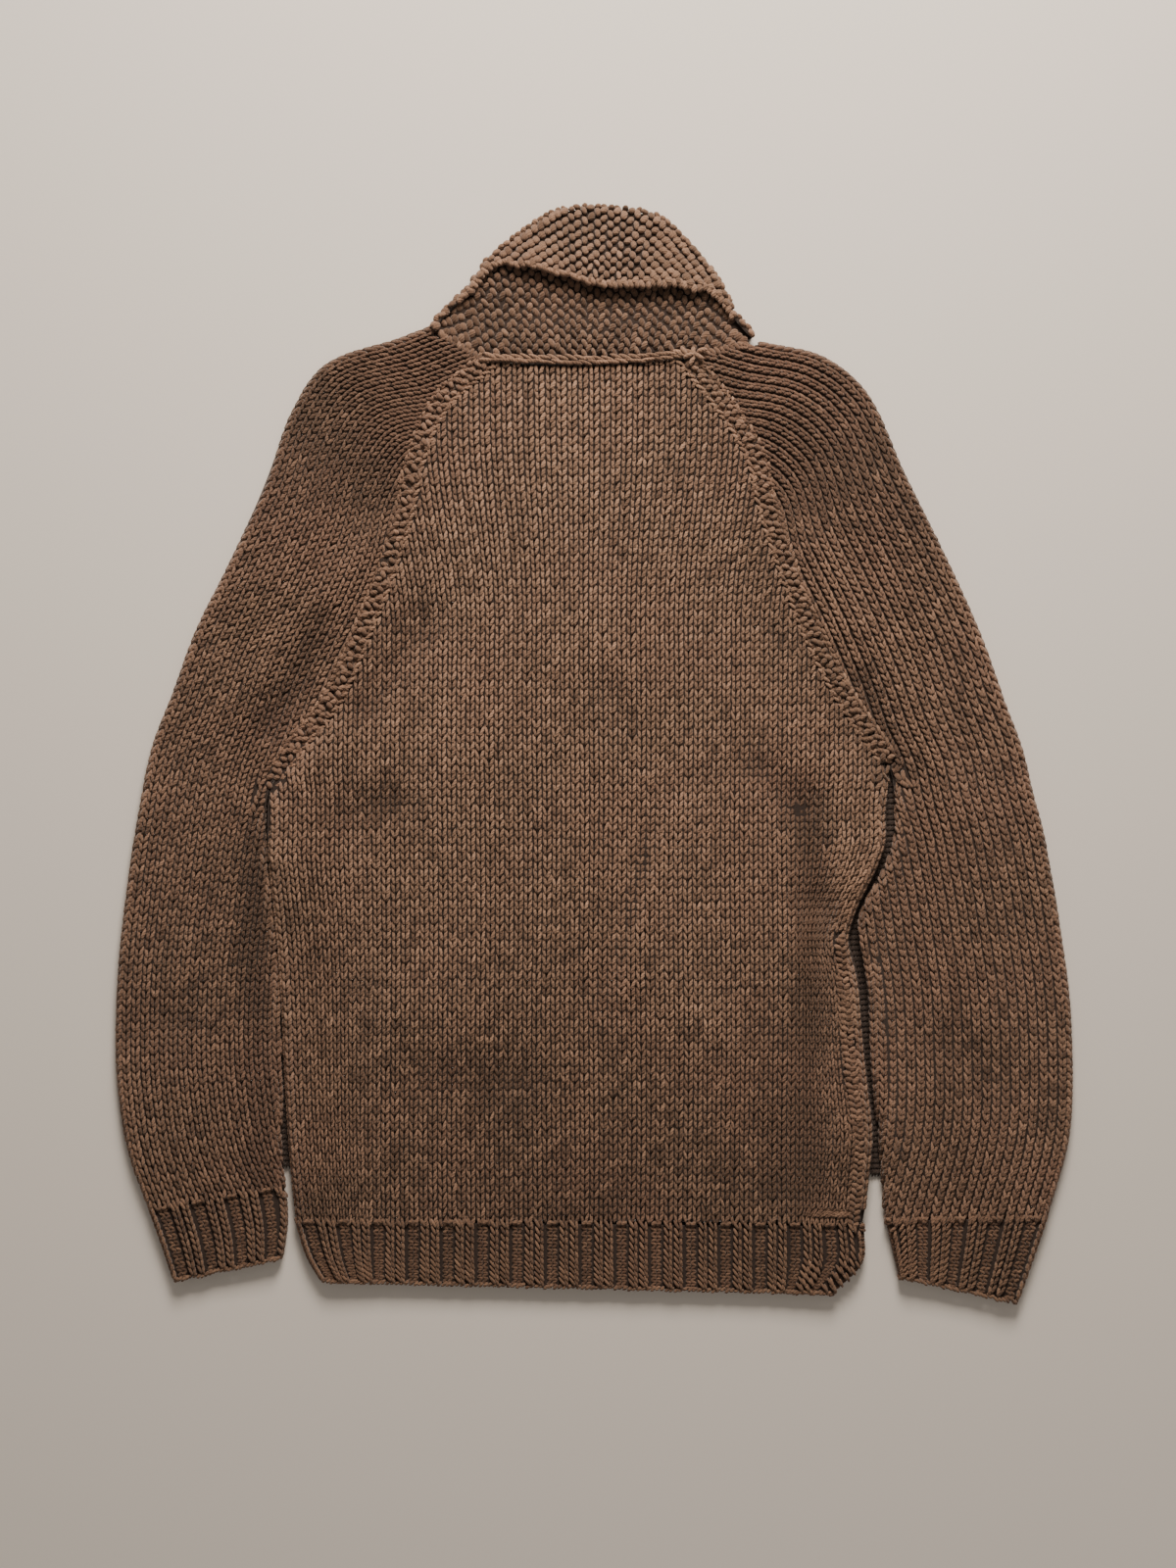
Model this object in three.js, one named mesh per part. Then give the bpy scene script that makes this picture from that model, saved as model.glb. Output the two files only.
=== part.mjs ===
// A hand-knitted shawl collar cardigan with raglan sleeves, laid flat with its back up.
// Millimetres. X runs across the chest, Y from hem to collar, Z up from the surface it lies on.
// Every piece is a sheet of knitted cloth: a closed wall with an outer face, an inner face and
// four rims, made from rows of sections that run from one edge line of the piece to the other.
import * as THREE from "three";

// ---- driving dimensions ----
const CLOTH = 4; // thickness of the chunky knit
const SEAM_GAP = 0.3; // clearance between neighbouring pieces
const LAYER_GAP = 0.6; // clearance between the front and the back where they lie together
const FLAT_HEIGHT = 2 * CLOTH + LAYER_GAP; // from the surface to the top of two layers
const FOLD_RADIUS = 5.3; // outer radius of the soft side folds of body and sleeves
const FOLD_PUFF = 2 * FOLD_RADIUS - FLAT_HEIGHT; // how far a side fold stands above the flat cloth
const PUFF_REACH = 22; // how quickly that height dies away from the fold
const SEAM_RISE = SEAM_GAP / 2; // half the slit of a seam that runs along a fold

const RAGLAN_ROWS = 9; // sections from neck to armpit
const BODY_ROWS = 9; // sections from armpit to the top of the hem rib
const RIB_ROWS = 3; // sections down a hem or cuff rib
const EDGE_STEPS = 3; // steps round the quarter fold at an edge
const NEAR_EDGE = [9, 18, 28, 42]; // columns of the back this far in from its side folds
const NEAR_UNDERARM = [6, 13, 22]; // columns of a sleeve this far out from its underarm
const NARROW_SLEEVE = 70; // below this width those columns move closer together
const YARN_BROWN = new THREE.Color(0x66503f);
const RIB_BROWN = new THREE.Color(0x5c4535);
const COLLAR_BROWN = new THREE.Color(0x765a48);

// ---- edge lines, [x, y] from neck to hem ----
const raglanLeft = [
  [-79, 288], [-113, 257], [-131, 216], [-139.5, 176], [-151, 139],
  [-168.5, 94], [-191.5, 42], [-214, 12], [-237.5, -20.5],
];
const raglanRight = [
  [68, 290.5], [96, 256], [118, 220], [127.5, 181], [141.5, 139],
  [164.5, 80], [186, 40], [203, 15], [216, -4],
];
const bodySideLeft = [
  [-237.5, -20.5], [-240, -57], [-234.5, -115], [-230, -165], [-226.5, -237], [-222.5, -300], [-218, -341],
];
const bodySideRight = [
  [216, -4], [215.5, -38], [214.5, -62], [206, -85], [192.5, -110], [184.5, -135],
  [193, -165], [197, -215], [204.5, -278], [198, -344],
];
const hemSideLeft = [[-218, -341], [-210, -366], [-199, -383.5]];
const hemSideRight = [[198, -344], [197.5, -371], [176, -393]];
const HEM_DIP = 3; // how far the middle of the hem hangs below the line between its corners

// A sleeve's own edges below the armpit, and its outer fold from the collar down to the cuff.
const sleeveInnerLeft = [
  [-238.2, -21], [-240.7, -57], [-235.2, -115], [-230.7, -165], [-228, -237], [-229, -290], [-226.5, -316],
];
const sleeveInnerRight = [
  [217, -5], [220.5, -38], [219.5, -62], [211, -85], [197.5, -110], [190.5, -135],
  [199, -165], [201.5, -215], [208.5, -278], [213, -340],
];
const outerRaglanLeft = [
  [-122, 312.5], [-166, 295.5], [-203, 281], [-221, 256], [-236, 212],
  [-262, 155], [-289, 94], [-307, 50], [-322, 8],
];
const outerRaglanRight = [
  [122, 302], [160, 293], [190, 277], [212, 237], [233, 195],
  [266, 127], [289, 70], [302, 33], [313, 0],
];
const outerLowerLeft = [
  [-322, 8], [-334, -57], [-343, -115], [-348.5, -172], [-349.8, -215], [-342, -278], [-325, -333],
];
const outerLowerRight = [
  [313, 0], [321, -30], [330, -66], [336.5, -100], [341.5, -128], [345.5, -155],
  [349.8, -203], [348.5, -272], [331.5, -338],
];
const cuffInnerLeft = [[-226.5, -316], [-225, -340], [-228.5, -368]];
const cuffOuterLeft = [[-325, -333], [-316, -358], [-307, -385]];
const cuffInnerRight = [[213, -340], [218, -362], [223, -382]];
const cuffOuterRight = [[331.5, -338], [322, -366], [310, -400.5]];

// Where the fronts are sewn to the shawl bands, and the bands' own front edges.
const bandSeam = [[64, 284], [56, 210], [45, 130], [38, 60], [36, 0], [36, -341]];
const bandFreeEdge = [[14, 285], [9, 215], [3, 140], [0.3, 70], [0.3, 0], [0.3, -341]];
const BAND_TOP_SKEW = 2; // the right half lies this much higher, as the collar does

// The collar, across the neck: neck edge, fold line, and how deep its fall comes back over it.
const collarStations = [
  { neck: [-111, 307.2], fold: [-119.5, 314.5], fall: 4.6 },
  { neck: [-96, 299], fold: [-105.5, 330.5], fall: 4.6 },
  { neck: [-80, 292.6], fold: [-90, 345], fall: 5 },
  { neck: [-62, 292.6], fold: [-79, 363], fall: 8 },
  { neck: [-44, 291.8], fold: [-57, 381], fall: 24 },
  { neck: [-20, 291.2], fold: [-28, 399], fall: 49 },
  { neck: [6, 291.3], fold: [14, 402], fall: 60 },
  { neck: [32, 292.4], fold: [50, 394], fall: 52 },
  { neck: [54, 294.4], fold: [73, 373], fall: 32 },
  { neck: [71, 294.2], fold: [91, 350], fall: 13 },
  { neck: [90, 296.1], fold: [104.5, 324.5], fall: 6 },
  { neck: [109, 300], fold: [120, 305.5], fall: 4.6 },
];
const COLLAR_COLUMNS = 20;
const COLLAR_RADIUS = FLAT_HEIGHT / 2;
const STAND_SLOPE = 34; // distance over which the stand comes down from the neck seam
const FALL_CURL = 5; // how far the free edge of the fall stands off the stand
const NECK_SAG = 2.5; // how far the middle of the neck edge lies below its corners
const NECK_SAG_ROWS = 4;
const NECK_RIDGE_WIDTH = 3.2;
const NECK_RIDGE_HEIGHT = 6;

// ---- the largest folds: soft ridges along a line, [x, y] ends and middle ----
const folds = [
  {
    name: "right side roll",
    line: [[196, -70], [178, -125], [176, -160], [186, -240], [184, -325]],
    width: 10,
    rise: 7,
  },
  { name: "right armpit fullness", line: [[176, -14], [202, -44]], width: 20, rise: 4 },
  { name: "left armpit fullness", line: [[-150, -10], [-214, -52]], width: 28, rise: 3 },
  { name: "left side fullness", line: [[-214, -90], [-205, -300]], width: 13, rise: 2.6 },
  { name: "left upper sleeve swell", line: [[-175, 232], [-250, 92], [-286, -60]], width: 34, rise: 3 },
  { name: "right upper sleeve swell", line: [[166, 236], [232, 104], [276, -60]], width: 34, rise: 3 },
  { name: "left forearm swell", line: [[-288, -130], [-292, -290]], width: 28, rise: 2 },
  { name: "right forearm swell", line: [[284, -120], [288, -300]], width: 28, rise: 2 },
  {
    name: "right sleeve inner roll",
    line: [[229, -40], [222, -78], [201, -130], [209, -170], [217, -300]],
    width: 8,
    rise: 5,
  },
  { name: "back swell", line: [[-10, 90], [-10, -120]], width: 90, rise: 1.4 },
];

// ---- helpers ----
const curveThrough = (points) =>
  new THREE.CatmullRomCurve3(points.map(([x, y]) => new THREE.Vector3(x, y, 0)), false, "centripetal");

/** count + 1 places along a line, each edge line of a piece at the same shares of its stations. */
function stations(points, count) {
  const curve = curveThrough(points);
  return Array.from({ length: count + 1 }, (_, i) => curve.getPoint(i / count));
}

const smoothStep = (share) => THREE.MathUtils.smoothstep(share, 0, 1);

function distanceToLine(x, y, line) {
  let nearest = Infinity;
  for (let i = 0; i + 1 < line.length; i += 1) {
    const [ax, ay] = line[i];
    const [bx, by] = line[i + 1];
    const along = ((x - ax) * (bx - ax) + (y - ay) * (by - ay)) / ((bx - ax) ** 2 + (by - ay) ** 2);
    const held = THREE.MathUtils.clamp(along, 0, 1);
    nearest = Math.min(nearest, Math.hypot(x - ax - held * (bx - ax), y - ay - held * (by - ay)));
  }
  return nearest;
}

/** How far the upper layer is lifted off the lower one by the garment's own folds. */
function lift(x, y) {
  const total = folds.reduce(
    (sum, { line, width, rise }) => sum + rise * Math.exp(-((distanceToLine(x, y, line) / width) ** 2)),
    0,
  );
  return Math.max(total, 0);
}

/** The height of the outer face of the upper layer. */
const topHeight = (x, y) => FLAT_HEIGHT + lift(x, y);

/** A closed wall from rows of { outer, inner } points, in step with each other. */
function wall(name, rows, color) {
  const across = rows[0].outer.length;
  const positions = [];
  for (const face of ["outer", "inner"]) {
    for (const row of rows) {
      for (const point of row[face]) positions.push(point.x, point.y, point.z);
    }
  }
  const innerStart = rows.length * across;
  const outerAt = (r, c) => r * across + c;
  const innerAt = (r, c) => innerStart + r * across + c;
  const index = [];
  const quad = (a, b, c, d) => index.push(a, b, c, a, c, d);
  for (let r = 0; r + 1 < rows.length; r += 1) {
    for (let c = 0; c + 1 < across; c += 1) {
      quad(outerAt(r, c), outerAt(r + 1, c), outerAt(r + 1, c + 1), outerAt(r, c + 1));
      quad(innerAt(r, c), innerAt(r, c + 1), innerAt(r + 1, c + 1), innerAt(r + 1, c));
    }
    const last = across - 1;
    quad(outerAt(r, 0), innerAt(r, 0), innerAt(r + 1, 0), outerAt(r + 1, 0));
    quad(outerAt(r, last), outerAt(r + 1, last), innerAt(r + 1, last), innerAt(r, last));
  }
  const end = rows.length - 1;
  for (let c = 0; c + 1 < across; c += 1) {
    quad(outerAt(0, c), outerAt(0, c + 1), innerAt(0, c + 1), innerAt(0, c));
    quad(outerAt(end, c), innerAt(end, c), innerAt(end, c + 1), outerAt(end, c + 1));
  }
  if (signedVolume(positions, index) < 0) {
    for (let i = 0; i < index.length; i += 3) [index[i], index[i + 1]] = [index[i + 1], index[i]];
  }
  const geometry = new THREE.BufferGeometry();
  geometry.setAttribute("position", new THREE.Float32BufferAttribute(positions, 3));
  geometry.setIndex(index);
  geometry.computeVertexNormals();
  const material = new THREE.MeshStandardMaterial({ color, roughness: 0.95, metalness: 0 });
  const mesh = new THREE.Mesh(geometry, material);
  mesh.name = name;
  return mesh;
}

function signedVolume(positions, index) {
  const corner = (i) => new THREE.Vector3().fromArray(positions, 3 * index[i]);
  let volume = 0;
  for (let i = 0; i < index.length; i += 3) {
    volume += corner(i).dot(corner(i + 1).cross(corner(i + 2))) / 6;
  }
  return volume;
}

/**
 * The points of one layer from an edge line to a place `reach` further in.
 * side is +1 for the upper layer and -1 for the lower one; round is 1 where the edge is a full
 * soft fold with its seam at mid height, and 0 where the piece ends in an upright rim.
 */
function edgePoint(edge, inward, step, side, round) {
  const angle = (step / EDGE_STEPS) * (Math.PI / 2);
  const at = (radius, slit) => {
    const s = FOLD_RADIUS - radius * Math.cos(angle);
    const rise = Math.max(radius * Math.sin(angle), slit);
    return { s, z: FOLD_RADIUS + side * rise };
  };
  const uprightS = FOLD_RADIUS * (1 - Math.cos(angle));
  const flatTop = side > 0 ? FLAT_HEIGHT : 0;
  const flatInner = side > 0 ? FLAT_HEIGHT - CLOTH : CLOTH;
  const make = (rounded, flatZ) => {
    const s = THREE.MathUtils.lerp(uprightS, rounded.s, round);
    const z = THREE.MathUtils.lerp(flatZ, rounded.z, round);
    return new THREE.Vector3(edge.x + inward.x * s, edge.y + inward.y * s, z);
  };
  const point = {
    outer: make(at(FOLD_RADIUS, SEAM_RISE), flatTop),
    inner: make(at(FOLD_RADIUS - CLOTH, SEAM_RISE), flatInner),
  };
  if (side > 0) {
    const raised = lift(point.outer.x, point.outer.y) * THREE.MathUtils.lerp(1, Math.sin(angle) ** 2, round);
    point.outer.z += raised;
    point.inner.z += raised;
  }
  return point;
}

/** Evenly spaced distances between the two edge folds of a section. */
const evenColumns = (span, count) => Array.from({ length: count - 1 }, (_, i) => (span * (i + 1)) / count);

/** Distances with extra columns near both edges and `count` even steps between them. */
function edgeColumns(span, count) {
  const last = NEAR_EDGE.at(-1);
  const middle = Array.from({ length: count - 1 }, (_, i) => last + ((span - 2 * last) * (i + 1)) / count);
  return [...NEAR_EDGE, ...middle, ...NEAR_EDGE.map((s) => span - s).reverse()];
}

/** Distances with extra columns near a sleeve's underarm and `count` even steps beyond them. */
function underarmColumns(span, count) {
  const near = NEAR_UNDERARM.map((s) => s * Math.min(1, span / NARROW_SLEEVE));
  const rest = span - near.at(-1);
  const far = Array.from({ length: count - 1 }, (_, i) => near.at(-1) + (rest * (i + 1)) / count);
  return [...near, ...far];
}

/**
 * One layer of one section, from edge a to edge b, with columns between its two edges. An edge
 * whose roundness is null is a plain seam and takes one column only.
 */
function layerSection(a, b, { side, roundA, roundB, count, columns = evenColumns, sag = 0 }) {
  const inward = new THREE.Vector3().subVectors(b, a).setZ(0);
  const width = inward.length();
  inward.divideScalar(width);
  const outward = inward.clone().negate();
  const startA = roundA === null ? 0 : FOLD_RADIUS;
  const startB = roundB === null ? 0 : FOLD_RADIUS;
  const outer = [];
  const inner = [];
  const add = (point) => {
    outer.push(point.outer);
    inner.push(point.inner);
  };
  const lastA = roundA === null ? 0 : EDGE_STEPS;
  const lastB = roundB === null ? 0 : EDGE_STEPS;
  for (let step = 0; step <= lastA; step += 1) add(edgePoint(a, inward, step, side, roundA ?? 0));
  for (const column of columns(width - startA - startB, count)) {
    const s = startA + column;
    const x = a.x + inward.x * s;
    const y = a.y + inward.y * s;
    const puffA = (roundA ?? 0) * Math.exp(-(s - startA) / PUFF_REACH);
    const puffB = (roundB ?? 0) * Math.exp(-(width - s - startB) / PUFF_REACH);
    const puff = FOLD_PUFF * (puffA + puffB);
    const z = side > 0 ? topHeight(x, y) + puff : 0;
    add({ outer: new THREE.Vector3(x, y, z), inner: new THREE.Vector3(x, y, z - side * CLOTH) });
  }
  for (let step = lastB; step >= 0; step -= 1) add(edgePoint(b, outward, step, side, roundB ?? 0));
  if (sag) {
    for (const point of [...outer, ...inner]) {
      const share = Math.hypot(point.x - a.x, point.y - a.y) / width;
      point.y -= sag * 4 * share * (1 - share);
    }
  }
  return { outer, inner };
}

/** A sleeve or cuff section: the upper layer out to the fold and the lower layer back again. */
function tubeSection(innerEdge, outerEdge, roundInner, count) {
  const shared = { roundA: roundInner, roundB: 1, count, columns: underarmColumns };
  const upper = layerSection(innerEdge, outerEdge, { side: 1, ...shared });
  const lower = layerSection(innerEdge, outerEdge, { side: -1, ...shared });
  const join = (face) => {
    const over = upper[face].slice(0, -1);
    const under = lower[face].slice(0, -1).reverse();
    const middle = upper[face].at(-1).clone();
    middle.z = FOLD_RADIUS;
    return [...over, middle, ...under];
  };
  return { outer: join("outer"), inner: join("inner") };
}

/** Moves each place of a line towards the matching place of another line. */
const insetTowards = (line, other, distance) =>
  line.map((place, i) => {
    const step = new THREE.Vector3().subVectors(other[i], place).setLength(distance);
    return place.clone().add(step);
  });

/** How round an edge is: upright along the raglan seam, a full fold well below the armpit. */
const foldShare = (row, firstFoldRow) => smoothStep((row - firstFoldRow) / 2);

/** Shortens a piece's first or last row by a seam gap, so that it stays clear of the next piece. */
function trimEnd(line, atStart) {
  const trimmed = line.map((place) => place.clone());
  const end = atStart ? 0 : trimmed.length - 1;
  const next = atStart ? 1 : trimmed.length - 2;
  trimmed[end].add(new THREE.Vector3().subVectors(trimmed[next], trimmed[end]).setLength(SEAM_GAP / 2 + 0.1));
  return trimmed;
}

// ---- body lines shared by the back and the fronts ----
const joined = (upper, upperRows, lower, lowerRows) => [
  ...stations(upper, upperRows),
  ...stations(lower, lowerRows).slice(1),
];
const bodyLineLeft = joined(raglanLeft, RAGLAN_ROWS, bodySideLeft, BODY_ROWS);
const bodyLineRight = joined(raglanRight, RAGLAN_ROWS, bodySideRight, BODY_ROWS);
const hemLineLeft = stations(hemSideLeft, RIB_ROWS);
const hemLineRight = stations(hemSideRight, RIB_ROWS);
const HALF_GAP = SEAM_GAP / 2 + 0.05;

function backPanel() {
  const left = trimEnd(insetTowards(bodyLineLeft, bodyLineRight, HALF_GAP), false);
  const right = trimEnd(insetTowards(bodyLineRight, bodyLineLeft, HALF_GAP), false);
  const rows = left.map((place, row) => {
    const round = foldShare(row, RAGLAN_ROWS);
    const sag = NECK_SAG * Math.max(0, 1 - row / NECK_SAG_ROWS);
    return layerSection(place, right[row], {
      side: 1, roundA: round, roundB: round, count: 5, columns: edgeColumns, sag,
    });
  });
  return wall("back", rows, YARN_BROWN);
}

/** The lower edge of a hem rib dips a little between its corners. */
function hemRib(name, leftLine, rightLine, side, roundA, roundB, count, dip) {
  const left = trimEnd(leftLine, true);
  const right = trimEnd(rightLine, true);
  const rows = left.map((place, row) =>
    layerSection(place, right[row], { side, roundA, roundB, count, sag: (dip * row) / RIB_ROWS }),
  );
  return wall(name, rows, RIB_BROWN);
}

/** Mirrors a half's line to the left or right half of the fronts. */
const onSide = (points, sign) =>
  points.map(([x, y], i) => [sign * x, y + (sign > 0 && i === 0 ? BAND_TOP_SKEW : 0)]);

function frontPieces(sign) {
  const half = sign < 0 ? "left" : "right";
  const side = sign < 0 ? bodyLineLeft : bodyLineRight;
  const rowCount = side.length - 1;
  const seam = stations(onSide(bandSeam, sign), rowCount);
  const outerEdge = trimEnd(insetTowards(side, seam, HALF_GAP), false);
  const seamEdge = trimEnd(insetTowards(seam, side, HALF_GAP), false);
  const panelRows = outerEdge.map((place, row) =>
    layerSection(place, seamEdge[row], {
      side: -1, roundA: foldShare(row, RAGLAN_ROWS), roundB: null, count: 4,
    }),
  );
  const panel = wall(`front_${half}`, panelRows, YARN_BROWN);

  const ribOuter = sign < 0 ? hemLineLeft : hemLineRight;
  const bandFoot = new THREE.Vector3(seam.at(-1).x + sign * HALF_GAP, seam.at(-1).y, 0);
  const hemFoot = hemCorner(bandFoot.x);
  const ribInner = Array.from({ length: RIB_ROWS + 1 }, (_, i) =>
    new THREE.Vector3(bandFoot.x, THREE.MathUtils.lerp(bandFoot.y, hemFoot, i / RIB_ROWS), 0),
  );
  const rib = hemRib(`front_hem_rib_${half}`, ribOuter, ribInner, -1, 1, null, 4, 0);

  const bandOuter = insetTowards(seam, stations(onSide(bandFreeEdge, sign), rowCount), HALF_GAP);
  const bandInner = stations(onSide(bandFreeEdge, sign), rowCount);
  for (const line of [bandOuter, bandInner]) {
    const foot = line.at(-1).clone();
    foot.y = hemCorner(foot.x);
    line.push(foot);
  }
  const bandRows = bandOuter.map((place, row) =>
    layerSection(place, bandInner[row], { side: -1, roundA: null, roundB: null, count: 1 }),
  );
  const band = wall(`shawl_band_${half}`, bandRows, COLLAR_BROWN);
  return [panel, rib, band];
}

/** The height in Y of the hem's lower edge at a place across the body. */
function hemCorner(x) {
  const [lx, ly] = hemSideLeft.at(-1);
  const [rx, ry] = hemSideRight.at(-1);
  const share = (x - lx) / (rx - lx);
  return THREE.MathUtils.lerp(ly, ry, share) - HEM_DIP * 4 * share * (1 - share);
}

function sleevePieces(half) {
  const isLeft = half === "left";
  const raglan = isLeft ? raglanLeft : raglanRight;
  const under = isLeft ? sleeveInnerLeft : sleeveInnerRight;
  const outerTop = isLeft ? outerRaglanLeft : outerRaglanRight;
  const outerLow = isLeft ? outerLowerLeft : outerLowerRight;
  const outerLine = trimEnd(joined(outerTop, RAGLAN_ROWS, outerLow, BODY_ROWS), false);
  const raglanLine = stations(raglan, RAGLAN_ROWS);
  const raglanClear = insetTowards(raglanLine, outerLine.slice(0, RAGLAN_ROWS + 1), HALF_GAP);
  const underLine = stations(under, BODY_ROWS).slice(1);
  const innerLine = trimEnd([...raglanClear, ...underLine], false);
  const rows = innerLine.map((place, row) =>
    tubeSection(place, outerLine[row], foldShare(row, RAGLAN_ROWS), 4),
  );
  const sleeve = wall(`sleeve_${half}`, rows, YARN_BROWN);
  const cuffInner = trimEnd(stations(isLeft ? cuffInnerLeft : cuffInnerRight, RIB_ROWS), true);
  const cuffOuter = trimEnd(stations(isLeft ? cuffOuterLeft : cuffOuterRight, RIB_ROWS), true);
  const cuffRows = cuffInner.map((place, row) => tubeSection(place, cuffOuter[row], 1, 3));
  return [sleeve, wall(`cuff_${half}`, cuffRows, RIB_BROWN)];
}

/** The collar: its stand comes down from the neck seam, folds over and falls back on itself. */
function collarSheet() {
  const across = COLLAR_COLUMNS;
  const neckLine = stations(collarStations.map(({ neck }) => neck), across);
  const foldLine = stations(collarStations.map(({ fold }) => fold), across);
  const fallDepth = stations(collarStations.map(({ fall }) => [fall, 0]), across).map(({ x }) => x);
  const standSteps = [0, 0.2, 0.42, 0.64, 0.84, 1];
  const foldSteps = 4;
  const fallSteps = [0.25, 0.5, 0.75, 1];
  const rows = neckLine.map((neck, column) => {
    const fold = foldLine[column];
    const out = new THREE.Vector3().subVectors(fold, neck);
    const length = out.length() - COLLAR_RADIUS;
    out.normalize();
    const outer = [];
    const inner = [];
    const place = (s, z) => new THREE.Vector3(neck.x + out.x * s, neck.y + out.y * s, z);
    for (const share of standSteps) {
      const s = length * share;
      const down = smoothStep(s / STAND_SLOPE);
      const under = THREE.MathUtils.lerp(FLAT_HEIGHT - CLOTH, 0, down);
      outer.push(place(s, under));
      inner.push(place(s, under + CLOTH));
    }
    const restZ = outer.at(-1).z;
    for (let i = 1; i <= foldSteps; i += 1) {
      const angle = (i / foldSteps) * Math.PI;
      const at = (radius) =>
        place(length + radius * Math.sin(angle), restZ + COLLAR_RADIUS - radius * Math.cos(angle));
      outer.push(at(COLLAR_RADIUS));
      inner.push(at(COLLAR_RADIUS - CLOTH));
    }
    const depth = fallDepth[column] - COLLAR_RADIUS;
    for (const share of fallSteps) {
      const s = length - depth * share;
      const down = smoothStep(s / STAND_SLOPE);
      const standTop = THREE.MathUtils.lerp(FLAT_HEIGHT, CLOTH, down);
      const curl = FALL_CURL * smoothStep(share) * smoothStep(depth / 30);
      const under = Math.max(standTop, restZ + CLOTH) + LAYER_GAP + curl;
      inner.push(place(s, under));
      outer.push(place(s, under + CLOTH));
    }
    return { outer, inner };
  });
  return wall("collar", rows, COLLAR_BROWN);
}

/** The cord-like ridge where the collar was picked up along the back neck. */
function neckSeam() {
  const left = bodyLineLeft[0];
  const right = bodyLineRight[0];
  const count = 12;
  const rows = Array.from({ length: count + 1 }, (_, i) => {
    const share = 0.02 + (0.96 * i) / count;
    const x = THREE.MathUtils.lerp(left.x, right.x, share);
    const y = THREE.MathUtils.lerp(left.y, right.y, share) - NECK_SAG * 4 * share * (1 - share) + SEAM_GAP;
    const foot = FLAT_HEIGHT - CLOTH;
    const section = [0, 0.5, 1].map((part) => ({
      y: y + part * NECK_RIDGE_WIDTH,
      z: foot + NECK_RIDGE_HEIGHT - (part === 0.5 ? 0 : 1.2),
    }));
    return {
      outer: section.map((p) => new THREE.Vector3(x, p.y, p.z)),
      inner: section.map((p) => new THREE.Vector3(x, p.y, foot)),
    };
  });
  return wall("neck_seam", rows, COLLAR_BROWN);
}

const cardigan = new THREE.Group();
cardigan.name = "shawl_collar_cardigan";
cardigan.add(backPanel());
cardigan.add(
  hemRib("back_hem_rib", hemLineLeft, hemLineRight, 1, 1, 1, 10, HEM_DIP),
);
cardigan.add(...frontPieces(-1), ...frontPieces(1));
cardigan.add(...sleevePieces("left"), ...sleevePieces("right"));
cardigan.add(collarSheet(), neckSeam());

export default cardigan;
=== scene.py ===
"""A hand-knitted shawl collar cardigan, laid flat with its back up, stitch by stitch."""

import math

import bpy
import numpy as np
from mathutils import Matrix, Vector
from mathutils.bvhtree import BVHTree


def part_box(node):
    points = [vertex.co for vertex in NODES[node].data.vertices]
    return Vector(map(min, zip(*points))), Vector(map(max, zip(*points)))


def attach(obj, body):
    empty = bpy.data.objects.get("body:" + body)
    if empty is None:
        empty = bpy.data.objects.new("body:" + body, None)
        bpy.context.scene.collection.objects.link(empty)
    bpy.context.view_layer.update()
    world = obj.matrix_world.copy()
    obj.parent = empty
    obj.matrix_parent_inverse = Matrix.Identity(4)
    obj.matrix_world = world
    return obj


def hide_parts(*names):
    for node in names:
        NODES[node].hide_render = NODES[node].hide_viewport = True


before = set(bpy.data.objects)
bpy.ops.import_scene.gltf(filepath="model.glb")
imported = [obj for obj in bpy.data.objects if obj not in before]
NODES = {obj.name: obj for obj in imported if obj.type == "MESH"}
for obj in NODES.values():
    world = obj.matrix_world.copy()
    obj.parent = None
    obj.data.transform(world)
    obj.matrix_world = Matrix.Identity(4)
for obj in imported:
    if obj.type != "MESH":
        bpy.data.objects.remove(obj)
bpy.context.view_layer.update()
MM = 0.001

# ---- knitting sizes, in metres
WALE = 6.9 * MM  # one stitch across
ROW = 5.75 * MM  # one stitch up
FOLD_RADIUS = 5.3 * MM  # the soft fold at a side edge
QUARTER_FOLD = FOLD_RADIUS * math.pi / 2
RIB_REPEAT = 25.7 * MM  # knit 2, purl 2
RIB_ROW = 5.5 * MM
MOSS_ACROSS = 9.3 * MM  # from one bump to the next in the same row
MOSS_UP = 7.6 * MM  # two rows of moss stitch
SEAM_BAND = 6.4 * MM  # half the width of the textured raglan line
YARN_SINK = 0.9 * MM  # how deep the middle of a leg lies below the cloth's outer face
CLOTH = 4 * MM  # the thickness of a single sheet
FLAT_TOP = 8.6 * MM  # the upper face where one sheet lies flat on another
NECK_TOP = 10.6 * MM  # the ridge of yarn along the neck
SHELL_INSET = 1.5 * MM  # how far the dark cloth lies inside a node's form; its darkness is painted shade between the stitches
RAY_START = 0.1  # well clear of the cloth
TRIANGLES_A_PIECE = 190_000
SIDES = {"left": -1, "right": 1}
UP = np.array([0.0, 0.0, 1.0])
rng = np.random.default_rng(20)

# ---- the lines of the cut, in mm
# Raglan seams from neck to armpit.
RAGLAN = {
    "left": [(-79, 288), (-113, 257), (-131, 216), (-139.5, 176), (-151, 139),
             (-168.5, 94), (-191.5, 42), (-214, 12), (-237.5, -20.5)],
    "right": [(68, 290.5), (96, 256), (118, 220), (127.5, 181), (141.5, 139),
              (164.5, 80), (186, 40), (203, 15), (216, -4)],
}
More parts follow.
